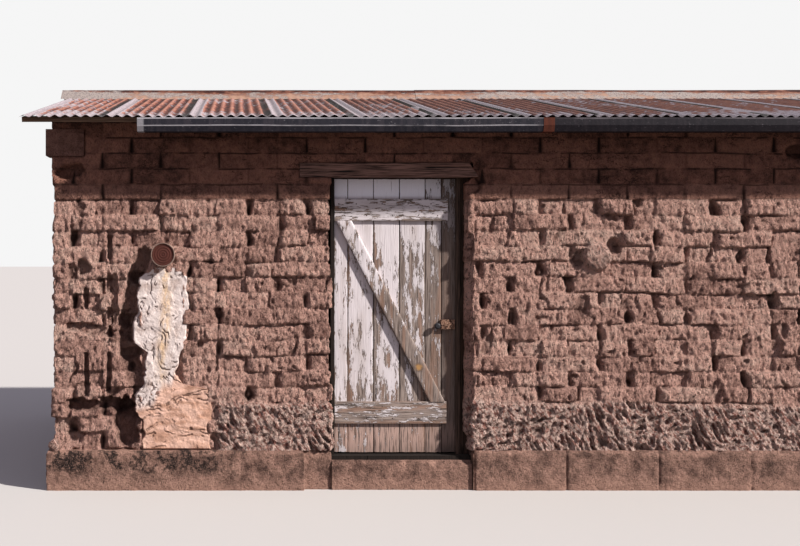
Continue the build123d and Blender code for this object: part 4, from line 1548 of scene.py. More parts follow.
@dataclass
class Plinth:
    """Block plinth: rough faces, worn upper edge, open joints between blocks.

    The left run of the front stands out of the wall as far as step_end.
    """

    plan: HousePlan
    step: float = 0.014
    far_step: float = 0.03
    block_length: float = 0.70
    joint_origin: float = 0.411
    joint_width: float = 0.0055
    joint_depth: float = 0.013
    edge_wear: float = 0.018
    chip_depth: float = 0.020
    step_end: float = -1.575

    def course(self, node: str, corners: list[Pair], ends: Sequence[Pair], joints: bool) -> Piece:
        """Builds one run of the plinth as a shell.

        Args:
            node: Node that it stands for, whose box gives its height.
            corners: Outer line in plan.
            ends: Ends of the inner line that its top closes onto, or none for the corners' own.
            joints: Whether open joints show between its blocks.

        Returns:
            The run's object.
        """
        low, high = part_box(node)[0][2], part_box(node)[1][2]
        step = self.step if "front" in node or "door" in node else self.far_step
        steps = (step,) * (len(corners) - 1)
        face = WallFace(corners, corners[0][0] + corners[0][1], steps, corner_radius=0.012)
        rounded, _, normals, place = face.trace()
        rows = max(6, int((high - low) / step))
        z = np.linspace(low, high, rows)[:, None]
        p = place[None, :]
        shift = 0.007 * fractal(p * 7, z * 7, 4, seed=301) - 0.004
        shift = shift + 0.004 * fractal(p * 45, z * 45, 2, seed=303)
        worn = rise(z, high - 0.05, high)
        shift = shift - self.edge_wear * worn**3 * (0.6 + 0.8 * smooth_noise(p * 5, z * 0, 305))
        half_block = self.block_length / 2
        past = rounded[:, 0] - self.joint_origin + half_block
        gap = np.abs(past % self.block_length - half_block)
        groove = dent(gap, self.joint_width) * (self.joint_depth if joints else 0.0)
        chips = self.chip_depth * rise(smooth_noise(p * 9, z * 9, 307), 0.80, 0.92) * worn
        shift = shift - groove - chips
        plan_points = rounded[None] + normals[None] * shift[..., None]
        heights = np.broadcast_to(z, shift.shape)
        outer = np.concatenate([plan_points, heights[..., None]], axis=-1)
        first, last = np.array(ends or (corners[0], corners[-1]))
        run = last - first
        share = np.clip(((rounded - first) @ run) / np.sum(run**2), 0, 1)
        inside = first + share[:, None] * run
        back = np.stack([np.insert(inside, 2, level, axis=1) for level in (low, high)])
        parts = MeshParts()
        parts.grid(outer).grid(back, flip=True)
        parts.grid(np.stack([back[0], outer[0]])).grid(np.stack([outer[-1], back[-1]]))
        parts.grid(np.stack([back[:, 0], outer[[0, -1], 0]], axis=1))
        parts.grid(np.stack([outer[[0, -1], -1], back[:, -1]], axis=1))
        return parts.build(f"block_{node}")

    def build(self, material: Material) -> None:
        """Builds and dresses every run.

        Args:
            material: The block finish.
        """
        plan = self.plan
        inner_front, inner_back, end = plan.inner_front, plan.inner_back, self.step_end
        (left, front, _), (door_left, _, _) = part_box("plinth_front_left")
        (door_right, _, _), (right, _, _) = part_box("plinth_front_right")
        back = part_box("plinth_back")[1][1]
        sill_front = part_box("plinth_door_sill")[0][1]
        inner_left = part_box("plinth_left")[1][0]
        inner_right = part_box("plinth_right")[0][0]
        stepped = [
            (left, inner_front), (left, front), (end, front), (end, plan.front),
            (door_left, plan.front), (door_left, inner_front),
        ]
        front_line = turned_in(door_right, right, front, inner_front)
        back_line = turned_in(right, left, back, inner_back)
        runs = {
            "plinth_front_left": (stepped, ()),
            "plinth_front_right": (front_line, ()),
            "plinth_door_sill": (
                [(door_left, sill_front), (door_right, sill_front)],
                ((door_left, inner_front), (door_right, inner_front)),
            ),
            "plinth_back": (back_line, ()),
            "plinth_left": (
                [(left, inner_back), (left, inner_front)],
                ((inner_left, inner_back), (inner_left, inner_front)),
            ),
            "plinth_right": (
                [(right, inner_front), (right, inner_back)],
                ((inner_right, inner_front), (inner_right, inner_back)),
            ),
        }
        for node, (corners, ends) in runs.items():
            joints = node in ("plinth_front_right", "plinth_back")
            piece = self.course(node, corners, ends, joints)
            mount(piece, "house", material, node)


@dataclass
class SheetRoof:
    """Corrugated sheets on both slopes, and the bent caps along the ridge."""

    pitch: float = 0.0762
    depth: float = 0.0165
    sheets: int = 12
    cover_pitches: int = 8
    lap_pitches: int = 1
    thickness: float = 0.001
    lap_rise: float = 0.0014
    points_per_pitch: int = 10
    rows: int = 24
    far_rows: int = 15
    dent_depth: float = 0.0014
    eave_bend: float = 0.006
    cap_top: float = 0.024
    cap_points: int = 29

    def __post_init__(self) -> None:
        """Reads the slope's line from the frame."""
        (self.left, self.eave_y, self.eave_z), (_, self.ridge_y, top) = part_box("roof_sheets_front")
        crest = self.depth + self.thickness + self.lap_rise * 1.125
        self.tilt = math.atan2(top - self.eave_z - crest, self.ridge_y - self.eave_y)

    def slope_point(self, along: Array, off: Array, x: Array, side: int) -> Array:
        """Points on a slope: up it from the eave, and square off it.

        Args:
            along: Distance up the slope.
            off: Distance off the sheets' underside plane.
            x: Place along the house.
            side: -1 for the front slope, 1 for the back.

        Returns:
            The points' coordinates.
        """
        c, s = math.cos(self.tilt), math.sin(self.tilt)
        y = self.eave_y + along * c - off * s
        z = self.eave_z + along * s + off * c
        return np.stack(np.broadcast_arrays(x, -side * y, z), axis=-1)

    def sheet(self, index: int, side: int, parts: MeshParts) -> None:
        """Adds one sheet: a cosine wave across, dented and sagging a little along.

        Args:
            index: Which sheet, from the left.
            side: -1 for the front slope, 1 for the back.
            parts: Where the sheet's grid goes.
        """
        pitches = self.cover_pitches + self.lap_pitches
        across = np.linspace(0, pitches * self.pitch, pitches * self.points_per_pitch + 1)
        length = (self.ridge_y - self.eave_y) / math.cos(self.tilt)
        rows = length * np.linspace(0, 1, self.rows if side < 0 else self.far_rows)
        a, u = np.meshgrid(across, rows)
        cover = self.cover_pitches * self.pitch
        x = self.left + index * cover + a
        seed = 400 + index + (50 if side > 0 else 0)
        crest = (1 - np.cos(2 * np.pi * a / self.pitch)) / 2
        lift = a / cover * self.lap_rise
        near_eave = rise(u, 0.16, 0.0)
        dents = self.dent_depth * fractal(x * 6, u * 3, 2, seed=seed) * (1 - near_eave)
        bent = self.eave_bend * near_eave * rise(smooth_noise(x * 5, u * 0, seed + 7), 0.62, 0.85)
        off = self.depth * crest + lift + dents - bent
        age = np.clip((index - 2.5) / 3.0, 0, 1) if side < 0 else 0.6
        age = np.clip(age + 0.25 * fractal(x * 1.5, u * 1.5, 2, seed=seed + 3), 0, 1)
        lap = rise(a, 0.128, 0.098) + rise(a, cover + 0.030, cover + 0.040)
        rust = 0.66 + 0.22 * fractal(x * 2.2, u * 1.6, 3, seed=seed + 11)
        rust = rust - 0.72 * np.clip(lap, 0, 1)
        rust = rust - 0.50 * rise(u, 0.11, 0.02) - 0.12 * rise(u, 0.7, 0.2)
        if side < 0:
            rust = rust - 0.08 * rise(x, -2.9, -3.5) - 0.18 * rise(u, 0.65, 0.35) * rise(x, 1.2, 2.4)
        # Painted shadow line along the lap
        seam = rise(np.abs(a - cover - 0.006), 0.034, 0.026)
        seam = seam * (0.55 + 0.45 * rise(smooth_noise(u * 3, x * 0, seed), 0.1, 0.4))
        lap_shadow = seam if index < self.sheets - 1 else 0.0
        # Darker in the valleys: dirt that gathers there, and painted shade
        dirt = (1 - crest) ** 2 * (0.30 + 0.40 * age)
        upper = self.slope_point(u, off + self.thickness, x, side)
        lower = self.slope_point(u, off, x, side)
        flip = side > 0
        parts.grid(upper, flip=flip, rust=rust, age=age, dirt=dirt, crest=crest, lap=lap_shadow)
        parts.grid(lower, flip=not flip, rust=rust - 0.2, age=age, dirt=dirt * 0.5, crest=0.5)
        for strip in rim(upper, lower):
            parts.grid(strip, flip=not flip, rust=0.2, age=0.2, crest=1.0)

    def build(self, material: Material, cap_material: Material) -> None:
        """Builds both slopes and the ridge caps.

        Args:
            material: Finish of the sheets.
            cap_material: Finish of the caps.
        """
        for side, node in ((-1, "roof_sheets_front"), (1, "roof_sheets_back")):
            parts = MeshParts()
            for index in range(self.sheets):
                self.sheet(index, side, parts)
            piece = parts.build(f"iron_{node}")
            mount(piece, "house", material, node)
        for seed, node in enumerate(("ridge_cap_left", "ridge_cap_middle", "ridge_cap_right")):
            piece = self.cap(node, 500 + seed)
            mount(piece, "house", cap_material, node)

    def cap(self, node: str, seed: int) -> Piece:
        """Builds one ridge cap: a steep bent sheet with a soft top and wavering edges.

        Its height falls from the top by the root of a squared distance, which rounds the bend,
        and near its edges it dips into the valleys of the sheets by a raised sine.

        Args:
            node: Node that it stands for.
            seed: Chooses its dents.

        Returns:
            The cap's object.
        """
        low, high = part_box(node)
        reach = high[1]
        y = np.linspace(-reach, reach, self.cap_points)[None, :]
        x = np.linspace(low[0], high[0], max(12, int((high[0] - low[0]) / 0.0095)))[:, None]
        flat = self.cap_top / 2
        thick = self.thickness * 1.4
        drop = (high[2] - low[2] - thick) / (reach - flat)
        fold = np.sqrt(np.maximum(np.abs(y) - flat * 0.4, 0) ** 2 + 0.006**2) - 0.006
        edge = np.abs(y) / reach
        valley = (1 + np.cos(2 * np.pi * (x - self.left) / self.pitch)) / 2
        dip = 0.007 * edge**6 * valley + 0.003 * edge**2 * (1 + fractal(x * 2.5, y * 4, 2, seed=seed))
        sway = 0.0025 * (1 + fractal(x * 1.2, y * 0, 2, seed=seed + 2))
        top = high[2] - drop * fold - dip - sway
        x_all, y_all = np.broadcast_arrays(x, y)
        upper = np.stack([x_all, y_all, top], axis=-1)
        lower = upper - np.array([0, 0, thick])
        rust = 0.50 + 0.20 * fractal(x_all * 1.7, y_all * 5, 3, seed=seed + 5)
        rust = rust + 0.35 * rise(edge + 0.15 * fractal(x_all * 3, y_all * 9, 2, seed=seed + 7), 0.45, 0.2)
        rust = rust - 0.3 * rise(x_all, self.left + 0.7, self.left + 0.2)
        parts = MeshParts()
        parts.grid(upper, rust=rust, crest=edge)
        parts.grid(lower, flip=True, rust=rust, age=0.5, dirt=0.2, crest=0.5)
        for strip in rim(upper, lower):
            parts.grid(strip, rust=0.4, age=0.2, crest=0.5)
        return parts.build(f"iron_{node}", sharp_degrees=50.0)


class Grain(Enum):
    """Axis that a board's grain runs along."""

    ACROSS = 0
    UPRIGHT = 2


@dataclass
class Board:
    """A sawn board with worn edges: its section, carried along its length."""

    low: Triple
    high: Triple
    grain: Grain
    seed: int
    edge: float = 0.003
    cup: float = 0.0012
    ends: float = 0.002
    wear_of: PlaneValue | None = None
    grime_and_shade_of: PlaneValue | None = None

    def add_to(self, parts: MeshParts) -> None:
        """Adds the board's grid and its two ends.

        The section is a rectangle whose corners are cut by a superellipse, its face cups by a
        parabola, and noise drawn out along the grain roughens it.

        Args:
            parts: Where the board goes.
        """
        low, high = np.array(self.low), np.array(self.high)
        axis = self.grain.value
        cross = 2 - axis
        length = high[axis] - low[axis]
        width = high[cross] - low[cross]
        deep = high[1] - low[1]
        across = max(6, int(width / 0.010))
        face = np.linspace(-1, 1, across + 1)
        face = np.sign(face) * np.abs(face) ** 0.9
        loop_w = np.concatenate([face, np.ones(1), face[::-1], -np.ones(1)]) * width / 2
        loop_d = np.repeat([-1.0, 0.0, 1.0, 0.0], [across + 1, 1, across + 1, 1]) * deep / 2
        near = np.abs(loop_w) > width / 2 - self.edge
        loop_d = loop_d - np.sign(loop_d) * np.where(near, self.edge * 0.7, 0.0)
        rows = max(6, int(length / 0.03))
        s = np.linspace(0, 1, rows)[:, None]
        w = loop_w[None, :]
        d = loop_d[None, :] - self.cup * (1 - (2 * w / width) ** 2)
        rough = 0.0016 * fractal(w * 120, s * length * 3, 3, seed=self.seed)
        sway = 0.0012 * fractal(s * 3, s * 0 + self.seed, 2, seed=self.seed + 1)
        side = np.sign(loop_d)[None, :]
        d = d + side * rough
        w_all = np.broadcast_to(w + sway, d.shape)
        jag = self.ends * fractal(w * 60, w * 0, 2, seed=self.seed + 2)
        along = low[axis] + s * length + jag
        middle = (low + high) / 2
        points = np.empty((*d.shape, 3))
        points[..., axis] = along
        points[..., cross] = middle[cross] + w_all
        points[..., 1] = middle[1] + np.clip(d, -deep / 2, deep / 2)
        x, z = points[..., 0], points[..., 2]
        wear = self.wear_of(x, z) if self.wear_of else np.full(x.shape, 0.5)
        worn_rim = rise(np.abs(w_all), width / 2 - 0.008, width / 2)
        wear = np.where(side < 0, wear + 0.10 * worn_rim, 0.75)
        grime = self.grime_and_shade_of(x, z) if self.grime_and_shade_of else np.zeros(x.shape)
        begin, count = parts.count, points.shape[1]
        order = -1 if self.grain is Grain.UPRIGHT else 1
        parts.grid(points, around=True, flip=order > 0, wear=wear, grime=grime)
        parts.cap(range(begin, begin + count)[::order])
        parts.cap(range(parts.count - count, parts.count)[::-order])


@dataclass
class BoardDoor:
    """Ledged and braced door leaf of upright boards, with its nails; its knob and latch block are the
    frame's own nodes.
    """

    board_gap: float = 0.0060
    widths: tuple[float, ...] = (0.107, 0.199, 0.201, 0.198, 0.127, 0.114)
    wear_by_board: tuple[float, ...] = (0.36, 0.375, 0.40, 0.465, 0.525, 0.60)
    edge_wear_by_board: tuple[float, ...] = (0.02, 0.08, 0.22, 0.26, 0.34, 0.10)
    # Grime of each board, and on the last boards painted shadow of the wall's reveal
    grime_and_shade_by_board: tuple[float, ...] = (0.0, 0.0, 0.0, 0.08, 0.38, 0.85)
    edge_strip: float = 0.045
    foot_wear: float = 0.15
    head_kept: float = 0.16
    ledge_wear: Pair = (0.425, 0.505)
    knot: Pair = (-0.69, 0.922)
    stray_nails: tuple[Pair, ...] = ((-1.216, 0.969), (-1.054, 0.969), (-1.201, 1.456))
    nail_radius: float = 0.0055
    brace_width: float = 0.122
    brace_proud: float = 0.007
    brace_rows: int = 150

    def board_wear(self, base: float, edge: float, left: float) -> PlaneValue:
        """How far the paint has gone on a board: more along its left edge and towards the foot.

        Args:
            base: Wear of the board at mid height.
            edge: What the strip along the left edge adds.
            left: Where that edge is.

        Returns:
            A function of x and z.
        """
        low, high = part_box("door_boards")
        foot, head = low[2], high[2]

        def wear(x: Array, z: Array) -> Array:
            """Base wear, with the strip at the edge, more at the foot and less at the head.

            Args:
                x: Places across the leaf.
                z: Heights.

            Returns:
                The wear at each place.
            """
            up = (z - foot) / (head - foot)
            ragged = x + 0.012 * fractal(z * 5, z * 0 + left, 3, seed=661)
            strip = rise(ragged, left + self.edge_strip, left) * rise(up, 0.95, 0.75)
            along = 0.4 + 0.6 * smooth_noise(z * 2.2, z * 0 + left * 7, 663)
            below, above = rise(up, 0.34, 0.02), rise(up, 0.68, 0.86)
            return base + edge * strip * along + self.foot_wear * below - self.head_kept * above

        return wear

    def nail_places(self) -> Array:
        """Places of the nails: two to a board in each ledge, and a few strays.

        Returns:
            Their x and z.
        """
        places = list(self.stray_nails)
        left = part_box("door_boards")[0][0]
        for node in ("door_ledge_top", "door_ledge_bottom"):
            low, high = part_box(node)
            middle = (low[2] + high[2]) / 2
            at = left
            for width in self.widths[:-1]:
                places += [(at + 0.3 * width, middle + 0.045), (at + 0.7 * width, middle - 0.045)]
                at += width
        return np.array(places)

    def nails(self, material: Material) -> None:
        """Builds the nail heads: flat domes, quarter rounds turned about each nail's axis.

        Args:
            material: The nails' finish.
        """
        ledge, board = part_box("door_ledge_top"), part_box("door_boards")
        parts = MeshParts()
        angle = np.linspace(0, 2 * math.pi, 10, endpoint=False)[None, :]
        turn = np.linspace(0.12, 1.0, 4)[:, None] * math.pi / 2
        for at, height in self.nail_places():
            face = board[0][1] if (at, height) in self.stray_nails else ledge[0][1]
            x = at + self.nail_radius * np.sin(turn) * np.cos(angle)
            z = height + self.nail_radius * np.sin(turn) * np.sin(angle)
            y = face + 0.0010 - 0.0022 * np.cos(turn) + 0 * angle
            start = parts.count
            parts.grid(np.stack([x, y, z], axis=-1), around=True, flip=True)
            parts.cap(range(start, start + angle.size))
        piece = parts.build("nail_heads")
        piece.data.materials.append(material)
        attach(piece, "door")

    def build(self, upright: Material, flat: Material) -> None:
        """Builds the boards, ledges and brace.

        Args:
            upright: Paint over grain that runs up.
            flat: Paint over grain that runs across.
        """
        low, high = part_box("door_boards")
        parts = MeshParts()
        at = low[0]
        choices = zip(self.widths, self.wear_by_board, self.edge_wear_by_board, self.grime_and_shade_by_board)
        for index, (width, wear, edge, grime) in enumerate(choices):
            drop = 0.004 * float(lattice(np.array(index), np.array(0), 7))
            # Grime and painted shade by board, darker towards the foot
            Board(
                (at, low[1], low[2] + drop), (at + width - self.board_gap, high[1], high[2]),
                Grain.UPRIGHT, 600 + index, wear_of=self.board_wear(wear, edge, at),
                grime_and_shade_of=lambda x, z, grime=grime: grime + 0.35 * rise(z, low[2] + 0.12, low[2]),
            ).add_to(parts)
            at += width
        boards = parts.build("boards", sharp_degrees=35.0)
        mount(boards, "door", upright, "door_boards")
        for node, wear in zip(("door_ledge_top", "door_ledge_bottom"), self.ledge_wear):
            low_corner, high_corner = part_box(node)
            parts = MeshParts()
            Board(
                tuple(low_corner), tuple(high_corner), Grain.ACROSS, 620 + len(node),
                wear_of=lambda x, z, wear=wear: np.full(x.shape, wear),
            ).add_to(parts)
            ledge = parts.build(node.replace("door_", "board_"), sharp_degrees=35.0)
            mount(ledge, "door", flat, node)
        self.brace(upright)

    def brace(self, material: Material) -> None:
        """Builds the brace: an upright board whose section slides across as it climbs.

        Args:
            material: Paint over grain that runs up.
        """
        low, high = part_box("door_brace")
        width = self.brace_width
        s = np.linspace(0, 1, self.brace_rows)[:, None]
        half = np.array([0, 0.02, 0.045, 0.08, 0.2, 0.35, 0.5, 0.65, 0.8, 0.92, 0.955, 0.98, 1.0])
        w = np.concatenate([half, half[::-1]])[None, :]
        face = np.repeat([[-1.0, 1.0]], half.size, axis=1)
        z = low[2] + s * (high[2] - low[2]) + 0 * w
        left = high[0] - width + (low[0] - high[0] + width) * s
        x = left + w * width
        worn_rim = rise(np.abs(w - 0.5), 0.43, 0.5)
        deep = high[1] - low[1]
        rough = 0.0015 * fractal(w * 14, s * 6, 3, seed=641)
        y = (low[1] + high[1]) / 2 + face * (deep / 2 - 0.0065 * worn_rim) + np.abs(rough)
        y = np.clip(y, low[1], high[1]) - self.brace_proud * (face < 0)
        points = np.stack([x, y, z], axis=-1)
        wear = 0.40 + 0.15 * rise(s, 0.78, 0.45)
        away = np.hypot(x - self.knot[0], z - self.knot[1])
        # Painted shade along the brace's shaded left edge; darker wood low down and a dark ring round the
        # knot
        grime = 0.7 * rise(w, 0.09, 0.0) * rise(s, 0.97, 0.85) + 0.14 * rise(s, 0.75, 0.5)
        grime = np.clip(grime + 0.8 * np.exp(-(((away - 0.030) / 0.008) ** 2)), 0, 1)
        knot = 0.85 * rise(away, 0.034, 0.020)
        parts = MeshParts()
        parts.grid(points, around=True, wear=wear, grime=grime, knot=knot)
        count = points.shape[1]
        parts.cap(range(count)[::-1])
        parts.cap(range(parts.count - count, parts.count))
        piece = parts.build("board_brace", sharp_degrees=35.0)
        mount(piece, "door", material, "door_brace")


@dataclass
class PlasterPatch:
    """Tongue of thick plaster below the stovepipe, with ragged edges and layered cracks.

    Its outline is given by rows: share of its drop from the top, then its reach to the left and
    to the right of the stovepipe's axis.
    """

    columns: int = 98
    rows: int = 222
    outline: tuple[Triple, ...] = (
        (0.0, 0.094, 0.122), (0.06, 0.185, 0.195), (0.14, 0.212, 0.190), (0.22, 0.205, 0.190),
        (0.34, 0.238, 0.190), (0.42, 0.222, 0.165), (0.47, 0.128, 0.137), (0.58, 0.157, 0.090),
        (0.64, 0.150, 0.150), (0.67, 0.206, 0.356), (0.79, 0.206, 0.385), (0.87, 0.160, 0.341),
        (1.0, 0.175, 0.365),
    )
    root: float = 0.030
    thickness: float = 0.018
    over: float = 0.018

    def build(self, material: Material) -> None:
        """Builds the patch between the two sides of its outline, with noise on both edges.

        The plaster is full inside and falls to nothing within 15 mm of its edge, stands in
        flakes whose heights are steps of noise, and is cut and darkened along the steps' lower and left
        sides as painted shadow, at its frayed edge and in crumbly specks.

        Args:
            material: The plaster finish.
        """
        (low_x, low_y, low_z), (high_x, high_y, high_z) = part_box("plaster_patch")
        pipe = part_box("stovepipe_thimble")
        centre = (pipe[0][0] + pipe[1][0]) / 2
        share, left_reach, right_reach = np.array(self.outline).T
        v = np.linspace(1, 0, self.rows)[:, None]
        u = np.linspace(-1, 1, self.columns)[None, :]
        z = low_z + v * (high_z - low_z)
        left_rag = 0.032 * fractal(z * 17, z * 0 + 3, 4, seed=701)
        right_rag = 0.026 * fractal(z * 13, z * 0 + 9, 4, seed=703)
        left = centre - np.interp(1 - v, share, left_reach) + left_rag
        left = np.clip(left, low_x - self.over, high_x)
        right = np.clip(centre + np.interp(1 - v, share, right_reach) + right_rag, low_x, high_x)
        x = left + (right - left) * (u + 1) / 2
        z = z + 0.012 * fractal(x * 14, z * 0 + 5, 3, seed=705) * rise(v, 0.9, 1.0)
        z = np.clip(z, low_z, high_z)
        to_edge = np.minimum(x - left, right - x)
        to_end = np.minimum(z - low_z, high_z - z)
        body = rise(to_edge, 0.0, 0.012) * rise(to_end, -0.004, 0.010)
        raised = z + 0.05 * fractal(x * 9, z * 9, 2, seed=709)
        raised = raised + 0.16 * rise(x, centre + 0.01, centre - 0.09)
        raised = raised - 0.12 * rise(x, centre + 0.05, centre + 0.12)
        lower = rise(raised, low_z + 0.56, low_z + 0.44)
        warp = 0.5 * fractal(x * 6, z * 6, 2, seed=711)
        upright = fractal(x * 8 + warp, z * 6, 4, seed=713)
        flat = fractal(x * 3 + warp, z * 11 + warp * 2, 4, seed=714)
        layers = np.floor(3 * ((upright * (1 - lower) + flat * lower) * 1.1 + 1)) / 6
        # Painted shadow: where the flake to the right or above stands higher, as if lit from the upper
        # right
        shaded_step_edge = np.maximum(np.gradient(layers, axis=1), -np.gradient(layers, axis=0))
        chosen = rise(smooth_noise(x * 34, z * 26, 717), 0.44, 0.66)
        cracks_and_step_shade = 0.8 * np.clip(shaded_step_edge * 12, 0, 1) * chosen
        fray = rise(to_edge, 0.016, 0.006) * rise(smooth_noise(x * 40, z * 40, 719), 0.45, 0.6)
        cracks_and_step_shade = np.maximum(cracks_and_step_shade, 0.8 * fray)
        crumbly = rise(x, centre, centre - 0.06) * rise(np.abs(z - low_z - 0.42), 0.16, 0.08)
        cracks_and_step_shade = np.maximum(cracks_and_step_shade, 0.85 * crumbly * rise(smooth_noise(x * 95, z * 80, 723), 0.62, 0.78))
        swell = fractal(x * 20, z * 16, 3, seed=715)
        thick = self.thickness * (0.20 + layers * 1.15 + 0.20 * swell - 0.34 * cracks_and_step_shade)
        full = high_y - low_y
        y = high_y + self.root - (self.root + np.clip(thick, -0.004, full)) * body
        y = np.maximum(y, low_y)
        front = np.stack([x, y, z], axis=-1)
        behind = np.stack([x, np.full_like(x, high_y + self.root), z], axis=-1)
        bend = centre + 0.02 * np.sin(z * 5.5) + 0.012 * fractal(z * 9, z * 0, 3, seed=721)
        run = np.exp(-(((x - bend) / 0.036) ** 2)) * rise(z, high_z - 1.0, high_z - 0.7)
        parts = MeshParts()
        parts.grid(front, flip=True, lower=lower, run=run, crack=cracks_and_step_shade * 0.85 * body)
        parts.grid(behind)
        for strip in rim(front, behind):
            parts.grid(strip)
        piece = parts.build("plaster_tongue")
        mount(piece, "house", material, "plaster_patch")


@dataclass
class StovepipeLid:
    """Pressed lid in the stovepipe's mouth, rippled in rings round its middle."""

    ring: float = 0.019
    around: int = 64
    out: int = 45

    def build(self, material: Material) -> None:
        """Builds the lid: its front falls and rises by a cosine of the distance from its middle.

        Args:
            material: The lid's finish, which reads the value named ring as a painted highlight on the
                raised rings.
        """
        low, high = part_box("stovepipe_cap")
        centre_x, centre_z = (low[0] + high[0]) / 2, (low[2] + high[2]) / 2
        radius, deep = (high[0] - low[0]) / 2, high[1] - low[1]
        r = np.linspace(0, radius, self.out)[:, None]
        angle = np.linspace(0, 2 * math.pi, self.around, endpoint=False)[None, :]
        ripple = (1 - np.cos(2 * np.pi * r / self.ring)) / 2
        y = low[1] + deep * (0.10 + 0.22 * ripple + 0.30 * (r / radius) ** 2) + 0 * angle
        x, z = centre_x + r * np.cos(angle), centre_z + r * np.sin(angle)
        front = np.stack([x, y, z], axis=-1)
        edge = np.stack([front[-1], np.insert(front[-1][:, ::2], 1, high[1], axis=1)])
        parts = MeshParts()
        # ring marks the raised rings, which the finish lights as a painted highlight
        parts.grid(front, around=True, flip=True, ring=rise(ripple, 0.7, 0.1))
        parts.grid(edge, around=True, flip=True)
        parts.cap(range(parts.count - self.around, parts.count)[::-1])
        piece = parts.build("pressed_lid", merge=1e-5)
        mount(piece, "house", material, "stovepipe_cap")


@dataclass
class Studio:
    """Pale floor, soft light and the camera."""

    wall_distance: float = 8.0
    camera_x: float = -2.091
    camera_z: float = 1.766
    focal_mm: float = 47.25
    sensor_mm: float = 36.0
    shift_x: float = 0.204
    shift_y: float = -0.019
    key_direction: Triple = (1.8, -1.0, 1.36)
    key_strength: float = 6.4
    key_spread_degrees: float = 2.6
    key_color: Triple = (1.0, 0.965, 0.92)
    key_distance: float = 12.0
    sky_strength: float = 0.36
    sky_color: Triple = (0.93, 0.90, 1.10)
    backdrop: Triple = (0.92, 0.92, 0.92)
    floor_size: float = 400.0
    floor_seen: Color = (196, 192, 189)
    floor_bounced: Color = (120, 114, 110)

    def build(self, plan: HousePlan) -> None:
        """Builds the floor, the lights, the world and the camera.

        Args:
            plan: Where the front wall is.
        """
        self.floor()
        self.world()
        self.key()
        camera_data = bpy.data.cameras.new("camera")
        camera_data.sensor_width = self.sensor_mm
        camera_data.lens = self.focal_mm
        camera_data.shift_x = self.shift_x
        camera_data.shift_y = self.shift_y
        camera = place_in_scene("camera", camera_data)
        camera.location = (self.camera_x, plan.front - self.wall_distance, self.camera_z)
        camera.rotation_euler = (math.radians(90), 0, 0)
        bpy.context.scene.camera = camera

    def floor(self) -> None:
        """Lays the pale floor, darker to bounced light than to the camera."""
        half = self.floor_size / 2
        mesh = bpy.data.meshes.new("floor_sheet")
        corners = [(-half, -half, 0), (half, -half, 0), (half, half, 0), (-half, half, 0)]
        mesh.from_pydata(corners, [], [(0, 1, 2, 3)])
        floor = place_in_scene("floor_sheet", mesh)
        t = Tree("floor_sheet", roughness=0.9, shine=0.0)
        seen = t.nodes.new("ShaderNodeLightPath").outputs["Is Camera Ray"]
        floor.data.materials.append(t.finish(t.mix(seen, self.floor_bounced, self.floor_seen)))

    def world(self) -> None:
        """Lights the world evenly, and shows it pale to the camera and in reflections."""
        world = bpy.data.worlds.new("studio")
        world.use_nodes = True
        nodes, links = world.node_tree.nodes, world.node_tree.links
        fill = nodes["Background"]
        fill.inputs["Color"].default_value = (*self.sky_color, 1.0)
        fill.inputs["Strength"].default_value = self.sky_strength
        seen = nodes.new("ShaderNodeBackground")
        seen.inputs["Color"].default_value = (*self.backdrop, 1.0)
        path = nodes.new("ShaderNodeLightPath")
        shown = path.outputs["Is Camera Ray"]
        for ray in ("Is Glossy Ray", "Is Transmission Ray"):
            either = nodes.new("ShaderNodeMath")
            either.operation = "MAXIMUM"
            links.new(shown, either.inputs[0])
            links.new(path.outputs[ray], either.inputs[1])
            shown = either.outputs[0]
        blend = nodes.new("ShaderNodeMixShader")
        links.new(shown, blend.inputs["Fac"])
        links.new(fill.outputs[0], blend.inputs[1])
        links.new(seen.outputs[0], blend.inputs[2])
        links.new(blend.outputs[0], nodes["World Output"].inputs["Surface"])
        bpy.context.scene.world = world

    def key(self) -> None:
        """Hangs the broad key light, up and to the right of the front."""
        data = bpy.data.lights.new("key", "SUN")
        data.energy = self.key_strength
        data.angle = math.radians(self.key_spread_degrees)
        data.color = self.key_color
        lamp = place_in_scene("key", data)
        lamp.rotation_euler = Vector(self.key_direction).to_track_quat("Z", "Y").to_euler()
        lamp.location = [self.key_distance * v for v in self.key_direction]


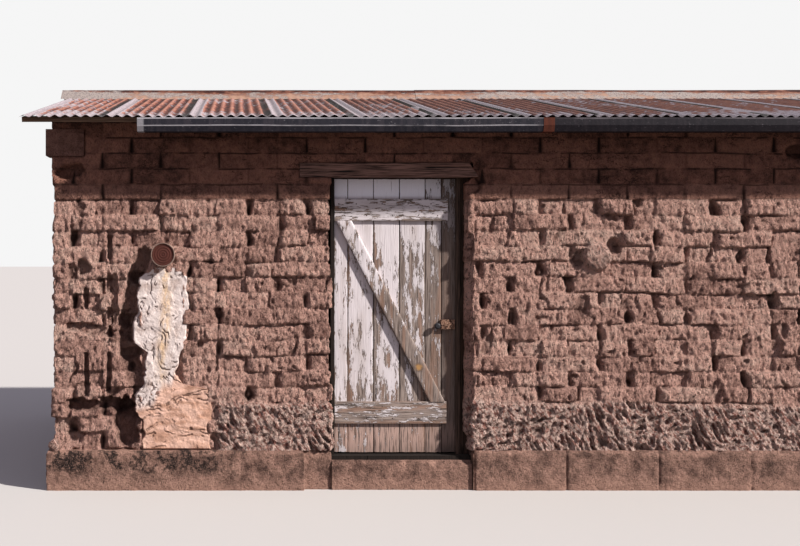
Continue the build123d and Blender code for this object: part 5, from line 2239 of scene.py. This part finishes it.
def dress_nodes(nodes: dict[str, Piece]) -> None:
    """Gives the nodes whose solids stay in view their finishes.

    Painted highlights run along the front gutter's crease, 42 mm above its foot, and along its lip.

    Args:
        nodes: The frame's nodes by name.
    """
    trough_low, trough_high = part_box("gutter_left")
    crease = (trough_low[2] + 0.042, 0.005)
    lip = (trough_high[2] - 0.008, 0.007)
    finishes = {
        TimberFinish(
            "roof_timber", (128, 104, 86), (74, 56, 44), (120, 84, 58)
        ): ("ridge_board", "purlins_front", "purlins_back", "wall_plate_front", "wall_plate_back"),
        TimberFinish(
            "rafter_timber", (132, 108, 88), (78, 60, 48), (126, 90, 62), along=1
        ): ("rafters_front", "rafters_back", "tie_beams"),
        TimberFinish(
            "lintel_timber", (150, 114, 102), (20, 13, 11), (98, 66, 54)
        ): ("lintel_front", "lintel_middle", "lintel_back"),
        TimberFinish(
            "frame_timber", (84, 66, 56), (40, 30, 25), (74, 52, 38), along=2
        ): ("door_jamb_right", "door_stop"),
        TimberFinish(
            "shaded_timber", (36, 27, 23), (18, 13, 11), (30, 21, 17), along=2
        ): ("door_jamb_left", "door_threshold"),
        StreakedMetalFinish(
            "gutter_left", (34, 33, 41), (62, 57, 63), (176, 172, 177), roughness=0.6,
            highlight_lines=(crease, lip), highlight_line_share=0.8, bright_to=trough_low[0] + 0.055,
        ): ("gutter_left",),
        StreakedMetalFinish(
            "gutter_right", (26, 22, 28), (46, 40, 45), (140, 132, 138), roughness=0.6,
            highlight_lines=(lip,), highlight_line_share=0.35,
        ): ("gutter_right",),
        StreakedMetalFinish(
            "rusted_iron", (88, 46, 34), (60, 32, 26), (120, 66, 44), roughness=0.85
        ): ("gutter_joint", "door_straps", "door_pintles"),
        StreakedMetalFinish(
            "thimble_iron", (146, 124, 113), (98, 68, 58), (80, 50, 42), along=1,
            roughness=0.8,
        ): ("stovepipe_thimble",),
        StreakedMetalFinish(
            "knob_steel", (52, 50, 54), (30, 28, 30), (130, 126, 128), roughness=0.4
        ): ("door_knob",),
        MasonryFinish(
            "corner_block", (156, 116, 104), (108, 76, 66), (80, 54, 46), 0.5
        ): ("corner_block_left", "corner_block_right"),
        MasonryFinish(
            "earth_floor", (150, 122, 102), (118, 92, 74), (98, 76, 62), 0.3
        ): ("floor",),
        MasonryFinish(
            "latch_block", (216, 172, 146), (158, 112, 90), (66, 40, 32), 1.0, scale=7.0
        ): ("door_latch_block",),
    }
    for finish, names in finishes.items():
        material = finish.material()
        for name in names:
            repaint(nodes[name], material)


def main() -> None:
    """Builds the house piece by piece."""
    logging.basicConfig(level=logging.INFO, format="%(message)s")
    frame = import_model()
    plan = HousePlan.read()
    AdobeWalls(plan).build(AdobeFinish().material(plan.wall_top))
    block = MasonryFinish(
        "plinth_stone", (176, 137, 121), (92, 68, 60), (30, 24, 24), 0.95,
        dust=(178, 138, 121), stained_to=-2.1,
    ).material()
    Plinth(plan).build(block)
    sheet_iron = SheetIronFinish()
    cap_iron = SheetIronFinish(
        zinc=(156, 144, 137), rust=(112, 70, 56), rust_light=(160, 126, 108)
    )
    SheetRoof().build(sheet_iron.material("corrugated_iron"), cap_iron.material("ridge_iron", along=0))
    upright = PaintedBoardFinish(
        foot_below=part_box("door_ledge_bottom")[0][2] + 0.10, painted_light_above=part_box("door_ledge_top")[1][2]
    )
    across = PaintedBoardFinish()
    door = BoardDoor()
    door.build(upright.material("painted_upright", 2), across.material("painted_across", 0))
    nail_iron = StreakedMetalFinish("nail_iron", (70, 50, 44), (44, 30, 26), (150, 140, 136))
    door.nails(nail_iron.material())
    PlasterPatch().build(PlasterFinish().material())
    lid = StreakedMetalFinish(
        "thimble_cap", (78, 42, 36), (58, 32, 28), (106, 64, 54), roughness=0.85, highlight_marked="ring"
    )
    StovepipeLid().build(lid.material())
    dress_nodes(frame["nodes"])
    Studio().build(plan)
    bpy.context.scene.view_settings.view_transform = "Standard"


if __name__ == "__main__":
    main()
